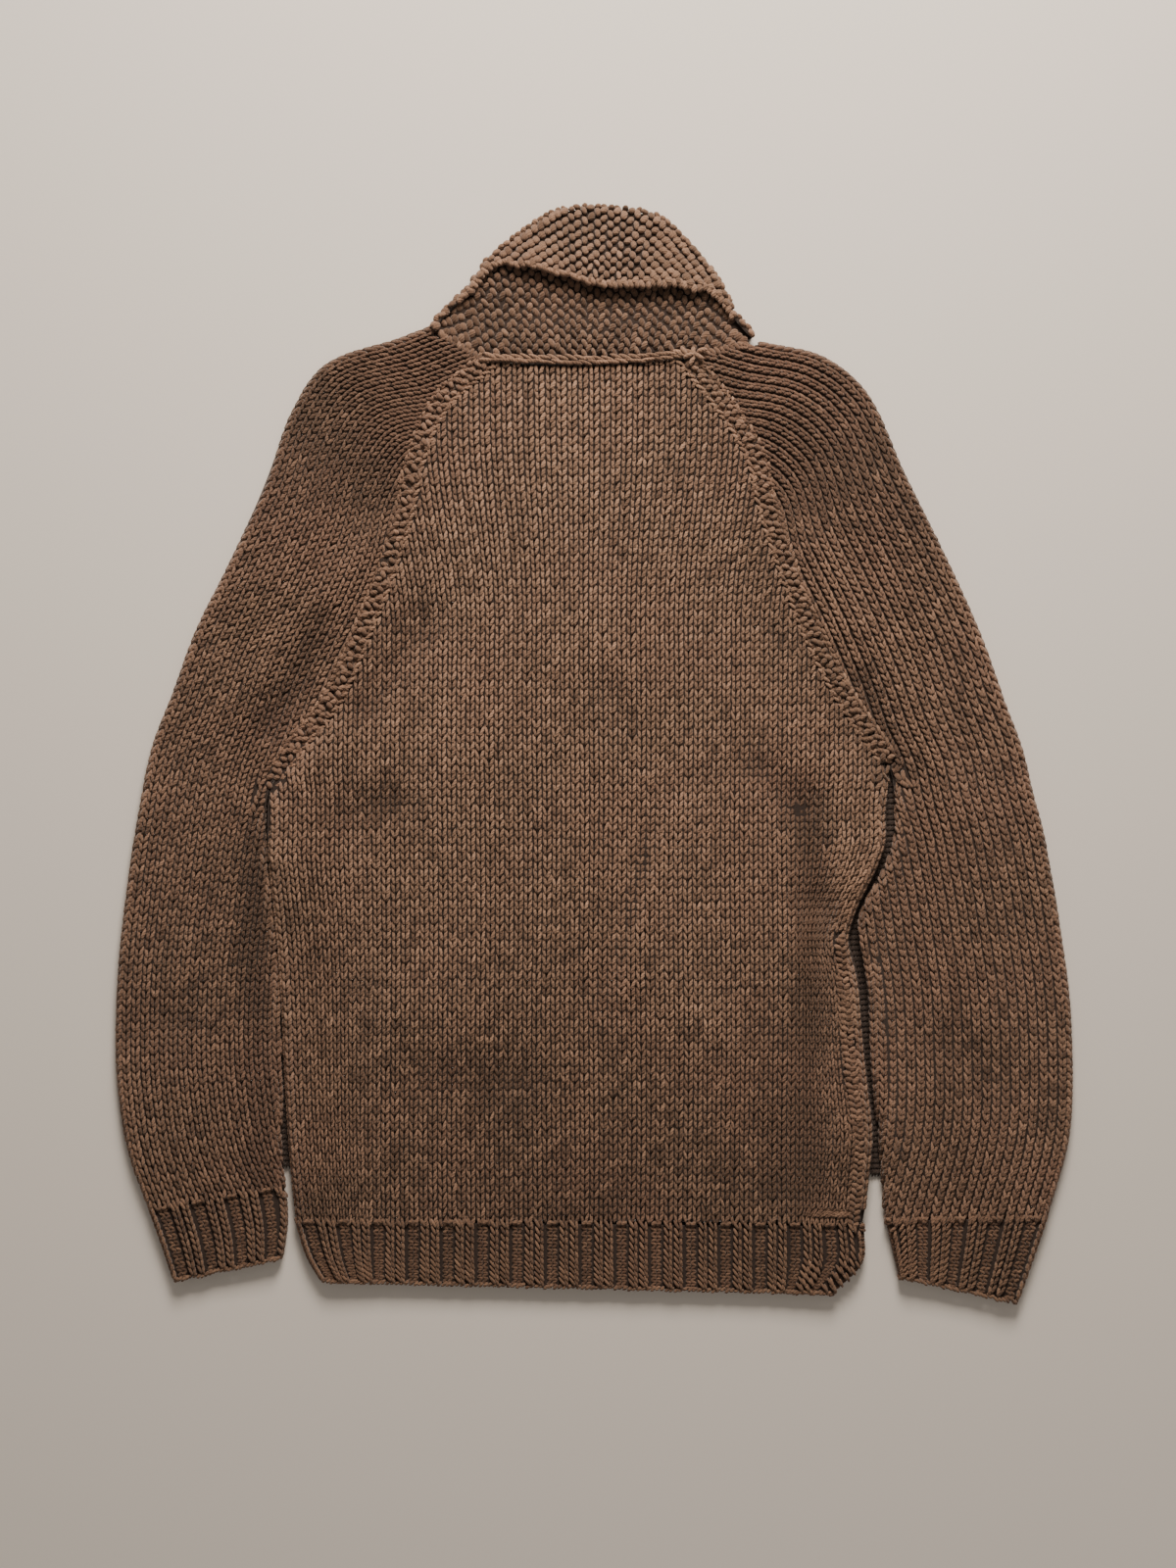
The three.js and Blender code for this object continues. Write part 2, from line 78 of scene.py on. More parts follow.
# Rows of a sleeve: where each meets the raglan seam or underarm, and the outer fold.
SLEEVE_ROWS = {
    "left": [(-79, 288, -90, 325), (-96, 272.5, -116, 315), (-113, 257, -140, 305.5),
             (-131, 216, -198, 284), (-139.5, 176, -221, 250), (-151, 139, -239, 200),
             (-168.5, 94, -266, 141), (-191.5, 42, -292, 88), (-214, 12, -307, 47),
             (-237.5, -20.5, -323, 5), (-240.7, -57, -333, -45), (-235.2, -115, -342, -105),
             (-230.7, -165, -348, -165), (-228, -237, -347.5, -245), (-229, -290, -338, -298),
             (-226.5, -316, -325, -333)],
    "right": [(68, 290.5, 77, 314), (82, 272, 97, 310), (96, 256, 120, 303),
              (118, 220, 168, 291), (127.5, 181, 197, 268), (141.5, 139, 228, 204),
              (164.5, 80, 259, 141), (186, 40, 284, 85), (203, 15, 300, 40),
              (217, -5, 313, 5), (220.5, -38, 321, -28), (219.5, -62, 328, -54),
              (211, -85, 333, -80), (197.5, -110, 338, -108), (190.5, -135, 342, -135),
              (199, -165, 346.5, -166), (201.5, -215, 349.5, -214), (208.5, -278, 347.5, -278),
              (213, -340, 331.5, -338)],
}
CUFF_ROWS = {
    "left": [(-226.5, -316, -325, -333), (-225, -340, -316, -358), (-228.5, -368, -307, -385)],
    "right": [(213, -340, 331.5, -338), (218, -362, 322, -366), (223, -382, 310, -400.5)],
}
# The collar, across the neck: neck edge, fold line and depth of the fall.
COLLAR = [
    (-111, 307.2, -119.5, 314.5, 4.6), (-96, 299, -105.5, 330.5, 4.6), (-80, 292.6, -90, 345, 5),
    (-62, 292.6, -79, 363, 8), (-44, 291.8, -57, 381, 24), (-20, 291.2, -28, 399, 49),
    (6, 291.3, 14, 402, 60), (32, 292.4, 50, 394, 52), (54, 294.4, 73, 373, 32),
    (71, 294.2, 91, 350, 13), (90, 296.1, 104.5, 324.5, 6), (109, 300, 120, 305.5, 4.6),
]
HEM_ROWS = [(198, -344, -218, -341), (197.5, -371, -210, -366), (176, -394, -199, -385)]
SIDE_SEAM = np.array([(179, -132), (181, -155), (187, -230), (193, -288), (189, -345)]) * MM
NECK_LINE = np.array([(-79, 290.0), (-40, 289.0), (-4, 288.4), (32, 289.8), (70, 293.4)]) * MM
# The knot of yarn at the right end of the neck: where each strand lies and how it is turned.
KNOT = [(69, 291, 0.4), (73, 294.5, 1.6), (77, 291, 2.6), (72, 287.5, 1.1), (79, 295, 0.2), (66, 295, 2.2)]
# Soft folds in the cloth: from, to, height (a trough below 0), half width, all in mm, and how dark: painted
# shade on the stitches along the fold, a painted highlight where below 0. Folds of height 0 are painted
# shade alone.
FOLDS = (
    ((-165, 150), (-236, 55), 2.4, 13, -0.06), ((-200, 96), (-240, 20), -2.6, 10, 0.22),
    ((-123, 98), (-166, 36), -2.4, 12, 0.14), ((-216, -18), (-186, 12), 2.0, 9, -0.08),
    ((-184, -42), (-148, -34), -2.6, 15, 0.18), ((-206, -120), (-192, -165), -1.8, 22, 0.10),
    ((-120, -238), (-62, -240), -2.2, 17, 0.13), ((-138, -185), (-72, -188), 1.6, 18, -0.03),
    ((118, -6), (150, -34), -2.6, 15, 0.16), ((153, -44), (161, -110), -2.8, 12, 0.26),
    ((160, -110), (152, -322), -2.2, 11, 0.26), ((186, -62), (182, -90), 1.4, 9, -0.05),
    ((120, -210), (128, -300), -1.0, 22, 0.08), ((68, -185), (92, -205), 2.0, 20, -0.07),
    ((62, -36), (24, -172), 1.9, 8, -0.05), ((44, -60), (10, -172), -1.3, 10, 0.04),
    ((8, -6), (14, -18), 1.2, 17, -0.03), ((10, 40), (16, 30), -1.3, 16, 0.08),
    ((-6, 100), (2, 78), 1.3, 17, -0.04), ((-8, 262), (-6, 190), 1.2, 14, -0.05),
    ((-92, 40), (-86, 10), 1.4, 20, -0.05), ((62, 228), (70, 208), -1.3, 14, 0.07),
    ((168, 146), (188, 96), 2.0, 12, -0.08), ((196, 52), (218, -6), -2.4, 8, 0.20),
    ((232, 40), (262, -40), 1.6, 16, -0.04), ((252, -210), (300, -236), -1.6, 14, 0.06),
    ((-250, -60), (-243, -318), 0.0, 9, 0.22), ((-300, -190), (-340, -200), -1.5, 16, 0.07),
    ((-20, -330), (10, -330), -1.0, 24, 0.10), ((-230, -310), (-200, -338), 0.0, 16, 0.12),
)
FOLDED = ("back", "sleeve_left", "sleeve_right")
# The last of these scales the folds' painted shade and painted highlight.
FOLD_WIDTH, FOLD_LIFT, FOLD_PAINTED_SHADE = 1.2 * MM, 1.25 * MM, 1.7


# ---- small tools
def smooth_step(share):
    share = np.clip(share, 0, 1)
    return share * share * (3 - 2 * share)


def unit(vectors):
    return vectors / np.maximum(np.linalg.norm(vectors, axis=-1, keepdims=True), 1e-12)


def spline(keys, values, at):
    """A smooth curve through `values` at rising `keys`, read at `at`."""
    keys, values = np.asarray(keys, float), np.asarray(values, float)
    slope = np.gradient(values, keys, axis=0)
    i = np.clip(np.searchsorted(keys, at, side="right") - 1, 0, len(keys) - 2)
    span = keys[i + 1] - keys[i]
    s = np.clip((at - keys[i]) / span, 0, 1)
    shape = (-1,) + (1,) * (values.ndim - 1)
    s, span = s.reshape(shape), span.reshape(shape)
    start, end = 2 * s**3 - 3 * s**2 + 1, -2 * s**3 + 3 * s**2
    leave, arrive = s**3 - 2 * s**2 + s, s**3 - s**2
    return start * values[i] + end * values[i + 1] + span * (leave * slope[i] + arrive * slope[i + 1])


def running_length(points):
    """How far along a line of corners each corner is."""
    return np.concatenate([[0], np.cumsum(np.linalg.norm(np.diff(points, axis=0), axis=1))])


def line_distance(points, line):
    """The distance from each point to a line of corners."""
    best = np.full(len(points), np.inf)
    for a, b in zip(line[:-1], line[1:]):
        along = np.clip(((points - a) @ (b - a)) / ((b - a) @ (b - a)), 0, 1)
        best = np.minimum(best, np.linalg.norm(points - a - along[:, None] * (b - a), axis=1))
    return best


def folds(xy):
    """How far the folds lift the cloth at each place, and how much painted shade (below 0 a painted
    highlight) they lay on its stitches.
    """
    lift, dark = np.zeros(len(xy)), np.zeros(len(xy))
    for start, end, height, width, shade in FOLDS:
        soft = np.exp(-(line_distance(xy, np.array([start, end]) * MM) / (width * FOLD_WIDTH)) ** 2)
        lift += soft * height * FOLD_LIFT
        dark += soft * shade * FOLD_PAINTED_SHADE
    return lift, dark


def node_tree(names):
    """A search tree over some nodes, and the node that each of its faces belongs to."""
    corners, faces, nodes = [], [], []
    for name in names:
        mesh = NODES[name].data
        start = len(corners)
        corners += [v.co for v in mesh.vertices]
        faces += [[start + k for k in p.vertices] for p in mesh.polygons]
        nodes += [name] * len(mesh.polygons)
    return BVHTree.FromPolygons(corners, faces), nodes


TREES = {name: node_tree([name])[0] for name in NODES}
ALL_TREE, ALL_FACES = node_tree(list(NODES))


def topmost(places, names, side=1):
    """Whether the first cloth met from above, or from below for side -1, is one of `names`."""
    start, ray = RAY_START * side, Vector((0, 0, -side))
    found = np.zeros(len(places), bool)
    for k, (x, y) in enumerate(places[:, :2]):
        face = ALL_TREE.ray_cast(Vector((x, y, start)), ray)[2]
        found[k] = face is not None and ALL_FACES[face] in names
    return found


class Height:
    """The smooth height of a node's upper face, read from the node and carried past its edges."""

    STEP = 3 * MM
    BLUR = 2.2
    SPREADS = (3, 6, 10)

    def __init__(self, name):
        self.folded = name in FOLDED
        low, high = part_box(name)
        self.low = np.array([low[0], low[1]]) - 6 * self.STEP
        size = np.array([high[0], high[1]]) + 6 * self.STEP - self.low
        nx, ny = (int(n) for n in np.ceil(size / self.STEP) + 1)
        heights, known = np.zeros((nx, ny)), np.zeros((nx, ny))
        tree, down = TREES[name], Vector((0, 0, -1))
        for i in range(nx):
            for j in range(ny):
                x, y = self.low[0] + i * self.STEP, self.low[1] + j * self.STEP
                place, normal, _, _ = tree.ray_cast(Vector((x, y, RAY_START)), down)
                if place is not None and normal.z > 0.9:
                    heights[i, j], known[i, j] = place.z, 1.0
        measured = known > 0
        share = np.maximum(self.blurred(known, self.BLUR), 1e-9)
        heights = self.blurred(heights, self.BLUR) / share * measured
        for blur in self.SPREADS:
            weight = self.blurred(known, blur)
            spread = self.blurred(heights * known, blur) / np.maximum(weight, 1e-9)
            heights = np.where(known > 0, heights, spread)
            known = np.where(weight > 1e-3, 1.0, known)
        self.heights = heights

    @staticmethod
    def blurred(grid, blur):
        reach = int(3 * blur)
        weights = np.exp(-0.5 * (np.arange(-reach, reach + 1) / blur) ** 2)
        weights /= weights.sum()
        for axis in (0, 1):
            grid = np.apply_along_axis(lambda row: np.convolve(row, weights)[reach:-reach], axis, grid)
        return grid

    def __call__(self, xy):
        at = (xy - self.low) / self.STEP
        at = np.clip(at, 0, np.array(self.heights.shape) - 1.001)
        i, j = at.astype(int).T
        u, v = (at - np.floor(at)).T
        grid = self.heights
        low = grid[i, j] * (1 - u) + grid[i + 1, j] * u
        high = grid[i, j + 1] * (1 - u) + grid[i + 1, j + 1] * u
        height = low * (1 - v) + high * v
        return height + folds(xy)[0] if self.folded else height


# ---- surfaces that carry stitches
# Each takes places across (a) and along the wales (b), in metres, and gives points in space.
class Tube:
    """A sleeve or cuff: a is measured round the cloth from the outer fold, up is positive."""

    def __init__(self, rows, round_from, height):
        table = np.array(rows, float) * MM
        inner, outer = table[:, :2], table[:, 2:]
        self.keys = (running_length(inner) + running_length(outer)) / 2
        self.table = table
        self.length = self.keys[-1]
        self.round_from = self.keys[round_from]
        self.height = height

    def row(self, b):
        table = spline(self.keys, self.table, np.clip(b, 0, self.length))
        inner, outer = table[:, :2], table[:, 2:]
        past = b - np.clip(b, 0, self.length)
        end, before = (spline(self.keys, self.table, np.full(len(b), at))[:, 2:]
                       for at in (self.length, self.length - ROW))
        run = unit(end - before)
        inner, outer = inner + run * past[:, None], outer + run * past[:, None]
        width = np.linalg.norm(inner - outer, axis=1)
        return outer, (inner - outer) / width[:, None], width

    def roundness(self, b):
        return smooth_step((b - self.round_from) / (9 * ROW))

    def around(self, b):
        """The cloth's width at each row, measured round its folds."""
        _, _, width = self.row(b)
        return width - FOLD_RADIUS + QUARTER_FOLD + self.roundness(b) * (QUARTER_FOLD - FOLD_RADIUS)

    def near(self, a, b):
        """What is left up to the far edge, and which places are on the outer or the inner fold."""
        left = np.maximum(self.around(b) - np.abs(a), 0)
        outer = np.abs(a) < QUARTER_FOLD
        inner = (left < QUARTER_FOLD) & (self.roundness(b) > 0.02) & ~outer
        return left, outer, inner

    def column(self, share, b):
        """Where a rib column that keeps its share of the tube lies at each row."""
        return share * self.around(b)

    def __call__(self, a, b):
        outer, inward, width = self.row(b)
        over = np.abs(a)
        left, near_fold, near_seam = self.near(a, b)
        angle = np.where(near_fold, over, left) / FOLD_RADIUS
        angle = np.where(near_fold | near_seam, angle, math.pi / 2)
        turned = FOLD_RADIUS * (1 - np.cos(angle))
        across = np.where(near_fold, turned, over - QUARTER_FOLD + FOLD_RADIUS)
        across = np.where(near_seam, width - turned, np.minimum(across, width))
        xy = outer + inward * across[:, None]
        inside = outer + inward * np.clip(across, FOLD_RADIUS, width - FOLD_RADIUS)[:, None]
        top = self.height(inside) - FOLD_RADIUS
        rise = np.where(a >= 0, top, -FOLD_RADIUS) * np.sin(angle)
        return np.column_stack([xy, FOLD_RADIUS + rise])


class HemTube(Tube):
    """The hem, whose columns hang straight and only draw together at the two corners."""

    CORNER = 0.07

    def column(self, share, b):
        start = np.zeros(len(b))
        whole = self.around(start)
        over = np.abs(share) * whole
        left = self.row(b)[0][:, 0] - self.row(start)[0][:, 0]
        right = whole - self.around(b) - left
        over = over - left * smooth_step(over / self.CORNER)
        over = over - right * smooth_step((over + left - whole + self.CORNER) / self.CORNER)
        return np.sign(share) * over


class Body:
    """The body below and between the raglans: a runs across, b is measured down from the neck.

    EDGE_BLEND says between which two places the wales start to follow a side edge, and where that
    edge would be without the shift. On the right it squeezes the wales into the valley by the roll.
    """

    TOP = 0.296
    FAN = 0.15
    EDGE_BLEND = {"left": (-0.150, -0.2425, -0.2425), "right": (0.140, 0.210, 0.2185)}

    def __init__(self, height=None):
        self.height = height
        self.edges = {}
        for side, sign in SIDES.items():
            ys = np.arange(-0.396, -0.002, 0.004)
            xs = np.array([self.find_edge(sign, y) for y in ys])
            smooth = np.convolve(np.pad(xs, 2, mode="edge"), np.ones(5) / 5, mode="valid")
            self.edges[side] = (ys, smooth)

    @staticmethod
    def find_edge(sign, y):
        """Where the body's side fold is at this height, seen from the middle of the chest."""
        furthest = 0.0
        for name in ("back", "back_hem_rib"):
            outside = Vector((sign * 0.5, y, FOLD_RADIUS + 1.2 * MM))
            place = TREES[name].ray_cast(outside, Vector((-sign, 0, 0)))[0]
            if place is not None:
                furthest = max(furthest, abs(place.x))
        return sign * furthest

    def edge(self, side, y):
        return np.interp(y, *self.edges[side])

    def spread(self, a, b):
        """Places on the cloth laid out flat, and what is left of it up to each side fold's middle."""
        y = self.TOP - b + 1.2 * MM * np.sin(a * 19 + 0.6) * np.sin(b * 11 + 1)
        x = a * (1 + self.FAN * smooth_step((y - 0.09) / 0.15))
        x += 0.5 * MM * np.sin(b * 24 + 3 * np.sin(a * 9))
        tucked = smooth_step((-0.012 - y) / 0.03)
        left = {}
        for side, sign in SIDES.items():
            start, end, reference = self.EDGE_BLEND[side]
            cloth_edge = self.edge(side, y) + sign * tucked * (QUARTER_FOLD - FOLD_RADIUS)
            weight = smooth_step((x - start) / (end - start))
            x = x + weight * tucked * (cloth_edge - reference)
            left[side] = sign * (cloth_edge - x)
        return x, y, tucked, left

    def holds(self, a, b):
        _, _, tucked, left = self.spread(a, b)
        return (tucked < 0.05) | ((left["left"] > 0) & (left["right"] > 0))

    def __call__(self, a, b):
        x, y, tucked, left = self.spread(a, b)
        drop = np.zeros(len(a))
        for side, sign in SIDES.items():
            on_fold = (tucked > 0.05) & (left[side] < QUARTER_FOLD)
            angle = np.where(on_fold, np.maximum(left[side], 0) / FOLD_RADIUS, math.pi / 2)
            turned = self.edge(side, y) - sign * FOLD_RADIUS * (1 - np.cos(angle))
            x = np.where(on_fold, turned, x)
            drop = np.maximum(drop, 1 - np.sin(angle))
        inside = np.column_stack([x, y])
        top = self.height(inside) if self.height else np.zeros(len(a))
        return np.column_stack([x, y, top + (FOLD_RADIUS - top) * drop])


class CollarSheet:
    """The collar: a runs round the neck, b is measured from the neck edge over the fold."""

    RADIUS = 4.3 * MM
    GAP = 0.6 * MM
    SLOPE = 34 * MM
    CURL = 5 * MM

    def __init__(self, out_share):
        table = np.array(COLLAR, float) * MM
        middle = (1 - out_share) * table[:, :2] + out_share * table[:, 2:4]
        self.keys = running_length(middle)
        self.table = table
        self.length = self.keys[-1]

    def row(self, a):
        table = spline(self.keys, self.table, np.clip(a, 0, self.length))
        neck, fold = table[:, :2], table[:, 2:4]
        reach = np.linalg.norm(fold - neck, axis=1)
        return neck, (fold - neck) / reach[:, None], reach - self.RADIUS, table[:, 4] - self.RADIUS

    def around(self, a):
        _, _, reach, fall = self.row(a)
        return reach, math.pi * self.RADIUS, np.maximum(fall, 0.3 * MM)

    def outward(self, a, b):
        """Which way the outer face of the fold and the fall looks."""
        _, out, reach, _ = self.row(a)
        angle = np.clip((b - reach) / self.RADIUS, 0, math.pi)
        return np.column_stack([out * np.sin(angle)[:, None], -np.cos(angle)])

    def __call__(self, a, b):
        """The stand's upper face up to the fold, then the outer face of the fold and the fall."""
        neck, out, reach, fall = self.row(a)
        bend = math.pi * self.RADIUS
        on_stand = b < reach
        on_bend = ~on_stand & (b < reach + bend)
        angle = np.clip((b - reach) / self.RADIUS, 0, math.pi)
        across = np.where(on_stand, b, reach + self.RADIUS * np.sin(angle))
        across = np.where(~on_stand & ~on_bend, reach - (b - reach - bend), across)
        down = smooth_step(np.maximum(across, 0) / self.SLOPE)
        stand_top = FLAT_TOP * (1 - down) + CLOTH * down
        rest = (FLAT_TOP - CLOTH) * (1 - smooth_step(reach / self.SLOPE))
        share = np.clip((b - reach - bend) / np.maximum(fall, 1e-6), 0, 1)
        curl = self.CURL * smooth_step(share) * smooth_step(fall / (30 * MM))
        fall_top = np.maximum(stand_top, rest + CLOTH) + self.GAP + curl + CLOTH
        bend_top = rest + self.RADIUS * (1 - np.cos(angle))
        z = np.where(on_stand, stand_top, np.where(on_bend, bend_top, fall_top))
        return np.column_stack([neck + out * across[:, None], z])


# ---- yarn
def strand_template(sides, rings):
    """A closed plump strand along X from -1 to 1, with unit radii in Y and Z."""
    spots = [(-1.0, 0.0, 0.0)]
    for along, radius in rings:
        for k in range(sides):
            turn = 2 * math.pi * (k + 0.5) / sides
            spots.append((along, radius * math.cos(turn), radius * math.sin(turn)))
    spots.append((1.0, 0.0, 0.0))
    faces = []
    last = len(spots) - 1
    for k in range(sides):
        after = (k + 1) % sides
        faces.append((0, 1 + after, 1 + k))
        faces.append((last, last - sides + k, last - sides + after))
        for ring in range(len(rings) - 1):
            p, q = 1 + ring * sides, 1 + (ring + 1) * sides
            faces.append((p + k, p + after, q + after))
            faces.append((p + k, q + after, q + k))
    return np.array(spots), np.array(faces)


STRANDS = {
    "fine": strand_template(4, [(-0.62, 0.86), (0.0, 1.0), (0.62, 0.8)]),
    "fat": strand_template(6, [(-0.6, 0.84), (0.0, 1.0), (0.6, 0.84)]),
    "plump": strand_template(8, [(-0.82, 0.6), (-0.45, 0.92), (0.0, 1.0), (0.45, 0.92), (0.82, 0.6)]),
    "plain": strand_template(4, [(0.0, 1.0)]),
}


class Yarn:
    """Collects strands and writes them out as joined meshes."""

    def __init__(self, kind):
        self.spots, self.faces = STRANDS[kind]
        self.parts = []

    def add(self, centre, along, normal, length, width, thick, tone, bow=0.0):
        """Adds one strand at each centre. The ways along and out of the cloth may be one for all."""
        count = len(centre)
        if not count:
            return

        def full(value):
            return np.broadcast_to(np.asarray(value, float), (count,))

        along = unit(np.broadcast_to(along, centre.shape))
        side = unit(np.cross(normal, along))
        up = unit(np.cross(along, side))
        sizes = (full(length), full(width), full(thick), full(bow))
        self.parts.append((centre, along, side, up, *sizes, tone))

    def write(self, name, material, slot):
        columns = [np.concatenate(column) for column in zip(*self.parts)]
        chunks = math.ceil(len(columns[0]) / (TRIANGLES_A_PIECE // len(self.faces)))
        t, s, u = self.spots.T
        pieces = []
        for chunk in range(chunks):
            centre, along, side, up, length, width, thick, bow, tone = (
                np.array_split(column, chunks)[chunk][:, None] for column in columns
            )
            x, y = t * length / 2, (s + bow * (1 - t**2)) * width / 2
            verts = centre + along * x[..., None] + side * y[..., None] + up * (u * thick / 2)[..., None]
            verts[..., 2] = np.maximum(verts[..., 2], 0.1 * MM)
            faces = self.faces + (np.arange(len(centre)) * len(t))[:, None, None]
            label = name if chunks == 1 else f"{name}_{chunk + 1}"
            piece = mesh_object(label, verts.reshape(-1, 3), faces.reshape(-1, 3), material)
            layer = piece.data.attributes.new("tone", "FLOAT", "POINT")
            layer.data.foreach_set("value", np.repeat(tone, len(t)).astype(np.float32))
            twist = piece.data.attributes.new("twist", "FLOAT_VECTOR", "POINT")
            lay = np.stack(np.broadcast_arrays(x, s * width / 2, tone), axis=-1)
            twist.data.foreach_set("vector", lay.astype(np.float32).ravel())
            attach(piece, "root")
            pieces.append(piece)
        return pieces


def new_object(name, data):
    thing = bpy.data.objects.new(name, data)
    bpy.context.scene.collection.objects.link(thing)
    return thing


def mesh_object(name, verts, faces, material, smooth=True):
    mesh = bpy.data.meshes.new(name)
    mesh.vertices.add(len(verts))
    mesh.vertices.foreach_set("co", np.asarray(verts, np.float32).ravel())
    sides = faces.shape[1]
    mesh.loops.add(faces.size)
    mesh.loops.foreach_set("vertex_index", faces.astype(np.int32).ravel())
    mesh.polygons.add(len(faces))
    mesh.polygons.foreach_set("loop_start", np.arange(0, faces.size, sides, dtype=np.int32))
    mesh.polygons.foreach_set("loop_total", np.full(len(faces), sides, np.int32))
    mesh.update(calc_edges=True)
    mesh.polygons.foreach_set("use_smooth", np.full(len(faces), smooth))
    mesh.materials.append(material)
    return new_object(name, mesh)


class Spots:
    """Places on cloth: the ways of its rows, wales and face there, and how far it is stretched."""

    def __init__(self, place, across, along, normal, wide, tall):
        self.place, self.across, self.along, self.normal = place, across, along, normal
        self.wide, self.tall = wide, tall

    def only(self, keep):
        return Spots(*(values[keep] for values in vars(self).values()))

    def __len__(self):
        return len(self.place)


def spots_on(surface, a, b, outward):
    """Places on a surface, with their normals on the side that `outward` looks to."""
    reach = 1.5 * MM
    across = surface(a + reach, b) - surface(a - reach, b)
    along = surface(a, b - reach) - surface(a, b + reach)
    wide, tall = (np.clip(np.linalg.norm(way, axis=1) / (2 * reach), 0.6, 1.5) for way in (across, along))
    normal = unit(np.cross(across, along))
    flip = np.where(np.sum(normal * outward, axis=1) < 0, -1.0, 1.0)
    return Spots(surface(a, b), unit(across), unit(along), normal * flip[:, None], wide, tall)


def jitter(count, spread):
    return rng.normal(0, spread, count)


def tones(count, pairs=1):
    """Heathered yarn: neighbours on one stitch share most of their tone."""
    shared = rng.normal(0.5, 0.10, count)
    return [np.clip(shared + rng.normal(0, 0.07, count), 0, 1) for _ in range(pairs)]


# A random tone for each strand, with `shade` taken off it as painted shade (below 0 a painted highlight).
def one_tone(count, shade=0.0):
    return np.clip(tones(count)[0] - shade, 0, 1)


def knit_legs(yarn, spots, shade=0.0, even=1.0):
    """The two legs of each V, apex down: the left one slim, or more like the right where `even`. `shade` is
    painted shade taken off their tone.
    """
    count = len(spots)
    nudge = jitter(count, 0.3 * MM)
    slim = (-0.235, 0.41 + 0.02 * even, -0.06 - 0.10 * even, 1.75 - 0.1 * even, 3.2 + 0.3 * even, 0.0)
    plump = (0.215, 0.49 - 0.02 * even, 0.30 - 0.04 * even, 1.55, 3.7, 0.2)
    for leg, side, tone in zip((slim, plump), (1, -1), tones(count, 2)):
        offset, width, slant, length, thick, raise_by = leg
        lean = (slant + jitter(count, 0.06)) * spots.wide / spots.tall
        direction = unit(spots.along + spots.across * lean[:, None] - spots.normal * 0.17)
        aside = offset * WALE * spots.wide + jitter(count, 0.12 * MM)
        centre = spots.place + spots.across * aside[:, None]
        centre = centre + spots.along * (nudge + jitter(count, 0.2 * MM))[:, None]
        centre = centre + spots.normal * (raise_by * MM - YARN_SINK)
        yarn.add(
            centre, direction, spots.normal,
            length=ROW * length * spots.tall * (1 + jitter(count, 0.05)),
            width=WALE * width * spots.wide * (1 + jitter(count, 0.07)),
            thick=thick * MM,
            bow=0.12 * side,
            tone=np.clip(tone - shade, 0, 1),
        )


def lattice(a_from, a_to, a_step, b_from, b_to, b_step):
    a = np.arange(a_from + a_step / 2, a_to, a_step)
    b = np.arange(b_from + b_step / 2, b_to, b_step)
    grid_a, grid_b = np.meshgrid(a, b)
    return grid_a.ravel(), grid_b.ravel()


# ---- materials
def shader_node(tree, kind, settings=(), **inputs):
    """Adds a node. Each input takes a number, a colour or another node's output."""
    node = tree.nodes.new(f"ShaderNode{kind}")
    for name, value in dict(settings).items():
        setattr(node, name, value)
    set_inputs(tree, node, {name.replace("_", " "): value for name, value in inputs.items()})
    return node


def set_inputs(tree, node, inputs):
    for name, value in inputs.items():
        if isinstance(value, bpy.types.NodeSocket):
            tree.links.new(value, node.inputs[name])
        else:
            node.inputs[name].default_value = value


def wool(name, dark, light, pink):
    """Matt heathered wool: tone from stitch to stitch, which also carries the painted shade and painted
    highlight given to the strands, flecks along the plies, twist as bump.
    """
    material = bpy.data.materials.new(name)
    material.use_nodes = True
    tree = material.node_tree
    tone = shader_node(tree, "Attribute", {"attribute_name": "tone"})
    ramp = shader_node(tree, "ValToRGB", Fac=tone.outputs["Fac"])
    for end, colour, position in zip(ramp.color_ramp.elements, (dark, light), (0.15, 0.9)):
        end.color, end.position = (*colour, 1), position
    where = shader_node(tree, "TexCoord").outputs["Object"]
    patches = shader_node(tree, "TexNoise", Vector=where, Scale=11, Detail=4)
    flecks = shader_node(tree, "TexNoise", Vector=where, Scale=900, Detail=3)
    tinted = shader_node(tree, "MapRange", Value=patches.outputs["Fac"],
                         From_Min=0.42, From_Max=0.75, To_Max=0.35)
    tint = shader_node(tree, "Mix", {"data_type": "RGBA"}, Factor=tinted.outputs["Result"],
                       A=ramp.outputs["Color"], B=(*pink, 1))
    shade = shader_node(tree, "MapRange", Value=flecks.outputs["Fac"],
                        From_Min=0.3, From_Max=0.7, To_Min=0.40, To_Max=1.60).outputs["Result"]
    grey = shader_node(tree, "CombineColor", Red=shade, Green=shade, Blue=shade)
    fleck = shader_node(tree, "Mix", {"data_type": "RGBA", "blend_type": "MULTIPLY"}, Factor=0.5,
                        A=tint.outputs["Result"], B=grey.outputs["Color"])
    lay = shader_node(tree, "Attribute", {"attribute_name": "twist"})
    plies = shader_node(tree, "TexWave", {"wave_type": "BANDS", "bands_direction": "DIAGONAL"},
                        Vector=lay.outputs["Vector"], Scale=260, Distortion=1.5)
    bump = shader_node(tree, "Bump", Height=plies.outputs["Fac"], Strength=0.5, Distance=0.5 * MM)
    fuzz = shader_node(tree, "Bump", Height=flecks.outputs["Fac"], Strength=0.35, Distance=0.3 * MM,
                       Normal=bump.outputs["Normal"])
    set_inputs(tree, tree.nodes["Principled BSDF"], {
        "Base Color": fleck.outputs["Result"], "Normal": fuzz.outputs["Normal"],
        "Roughness": 0.92, "Specular IOR Level": 0.18,
        "Sheen Weight": 0.25, "Sheen Roughness": 0.6, "Sheen Tint": (0.9, 0.75, 0.65, 1),
    })
    return material
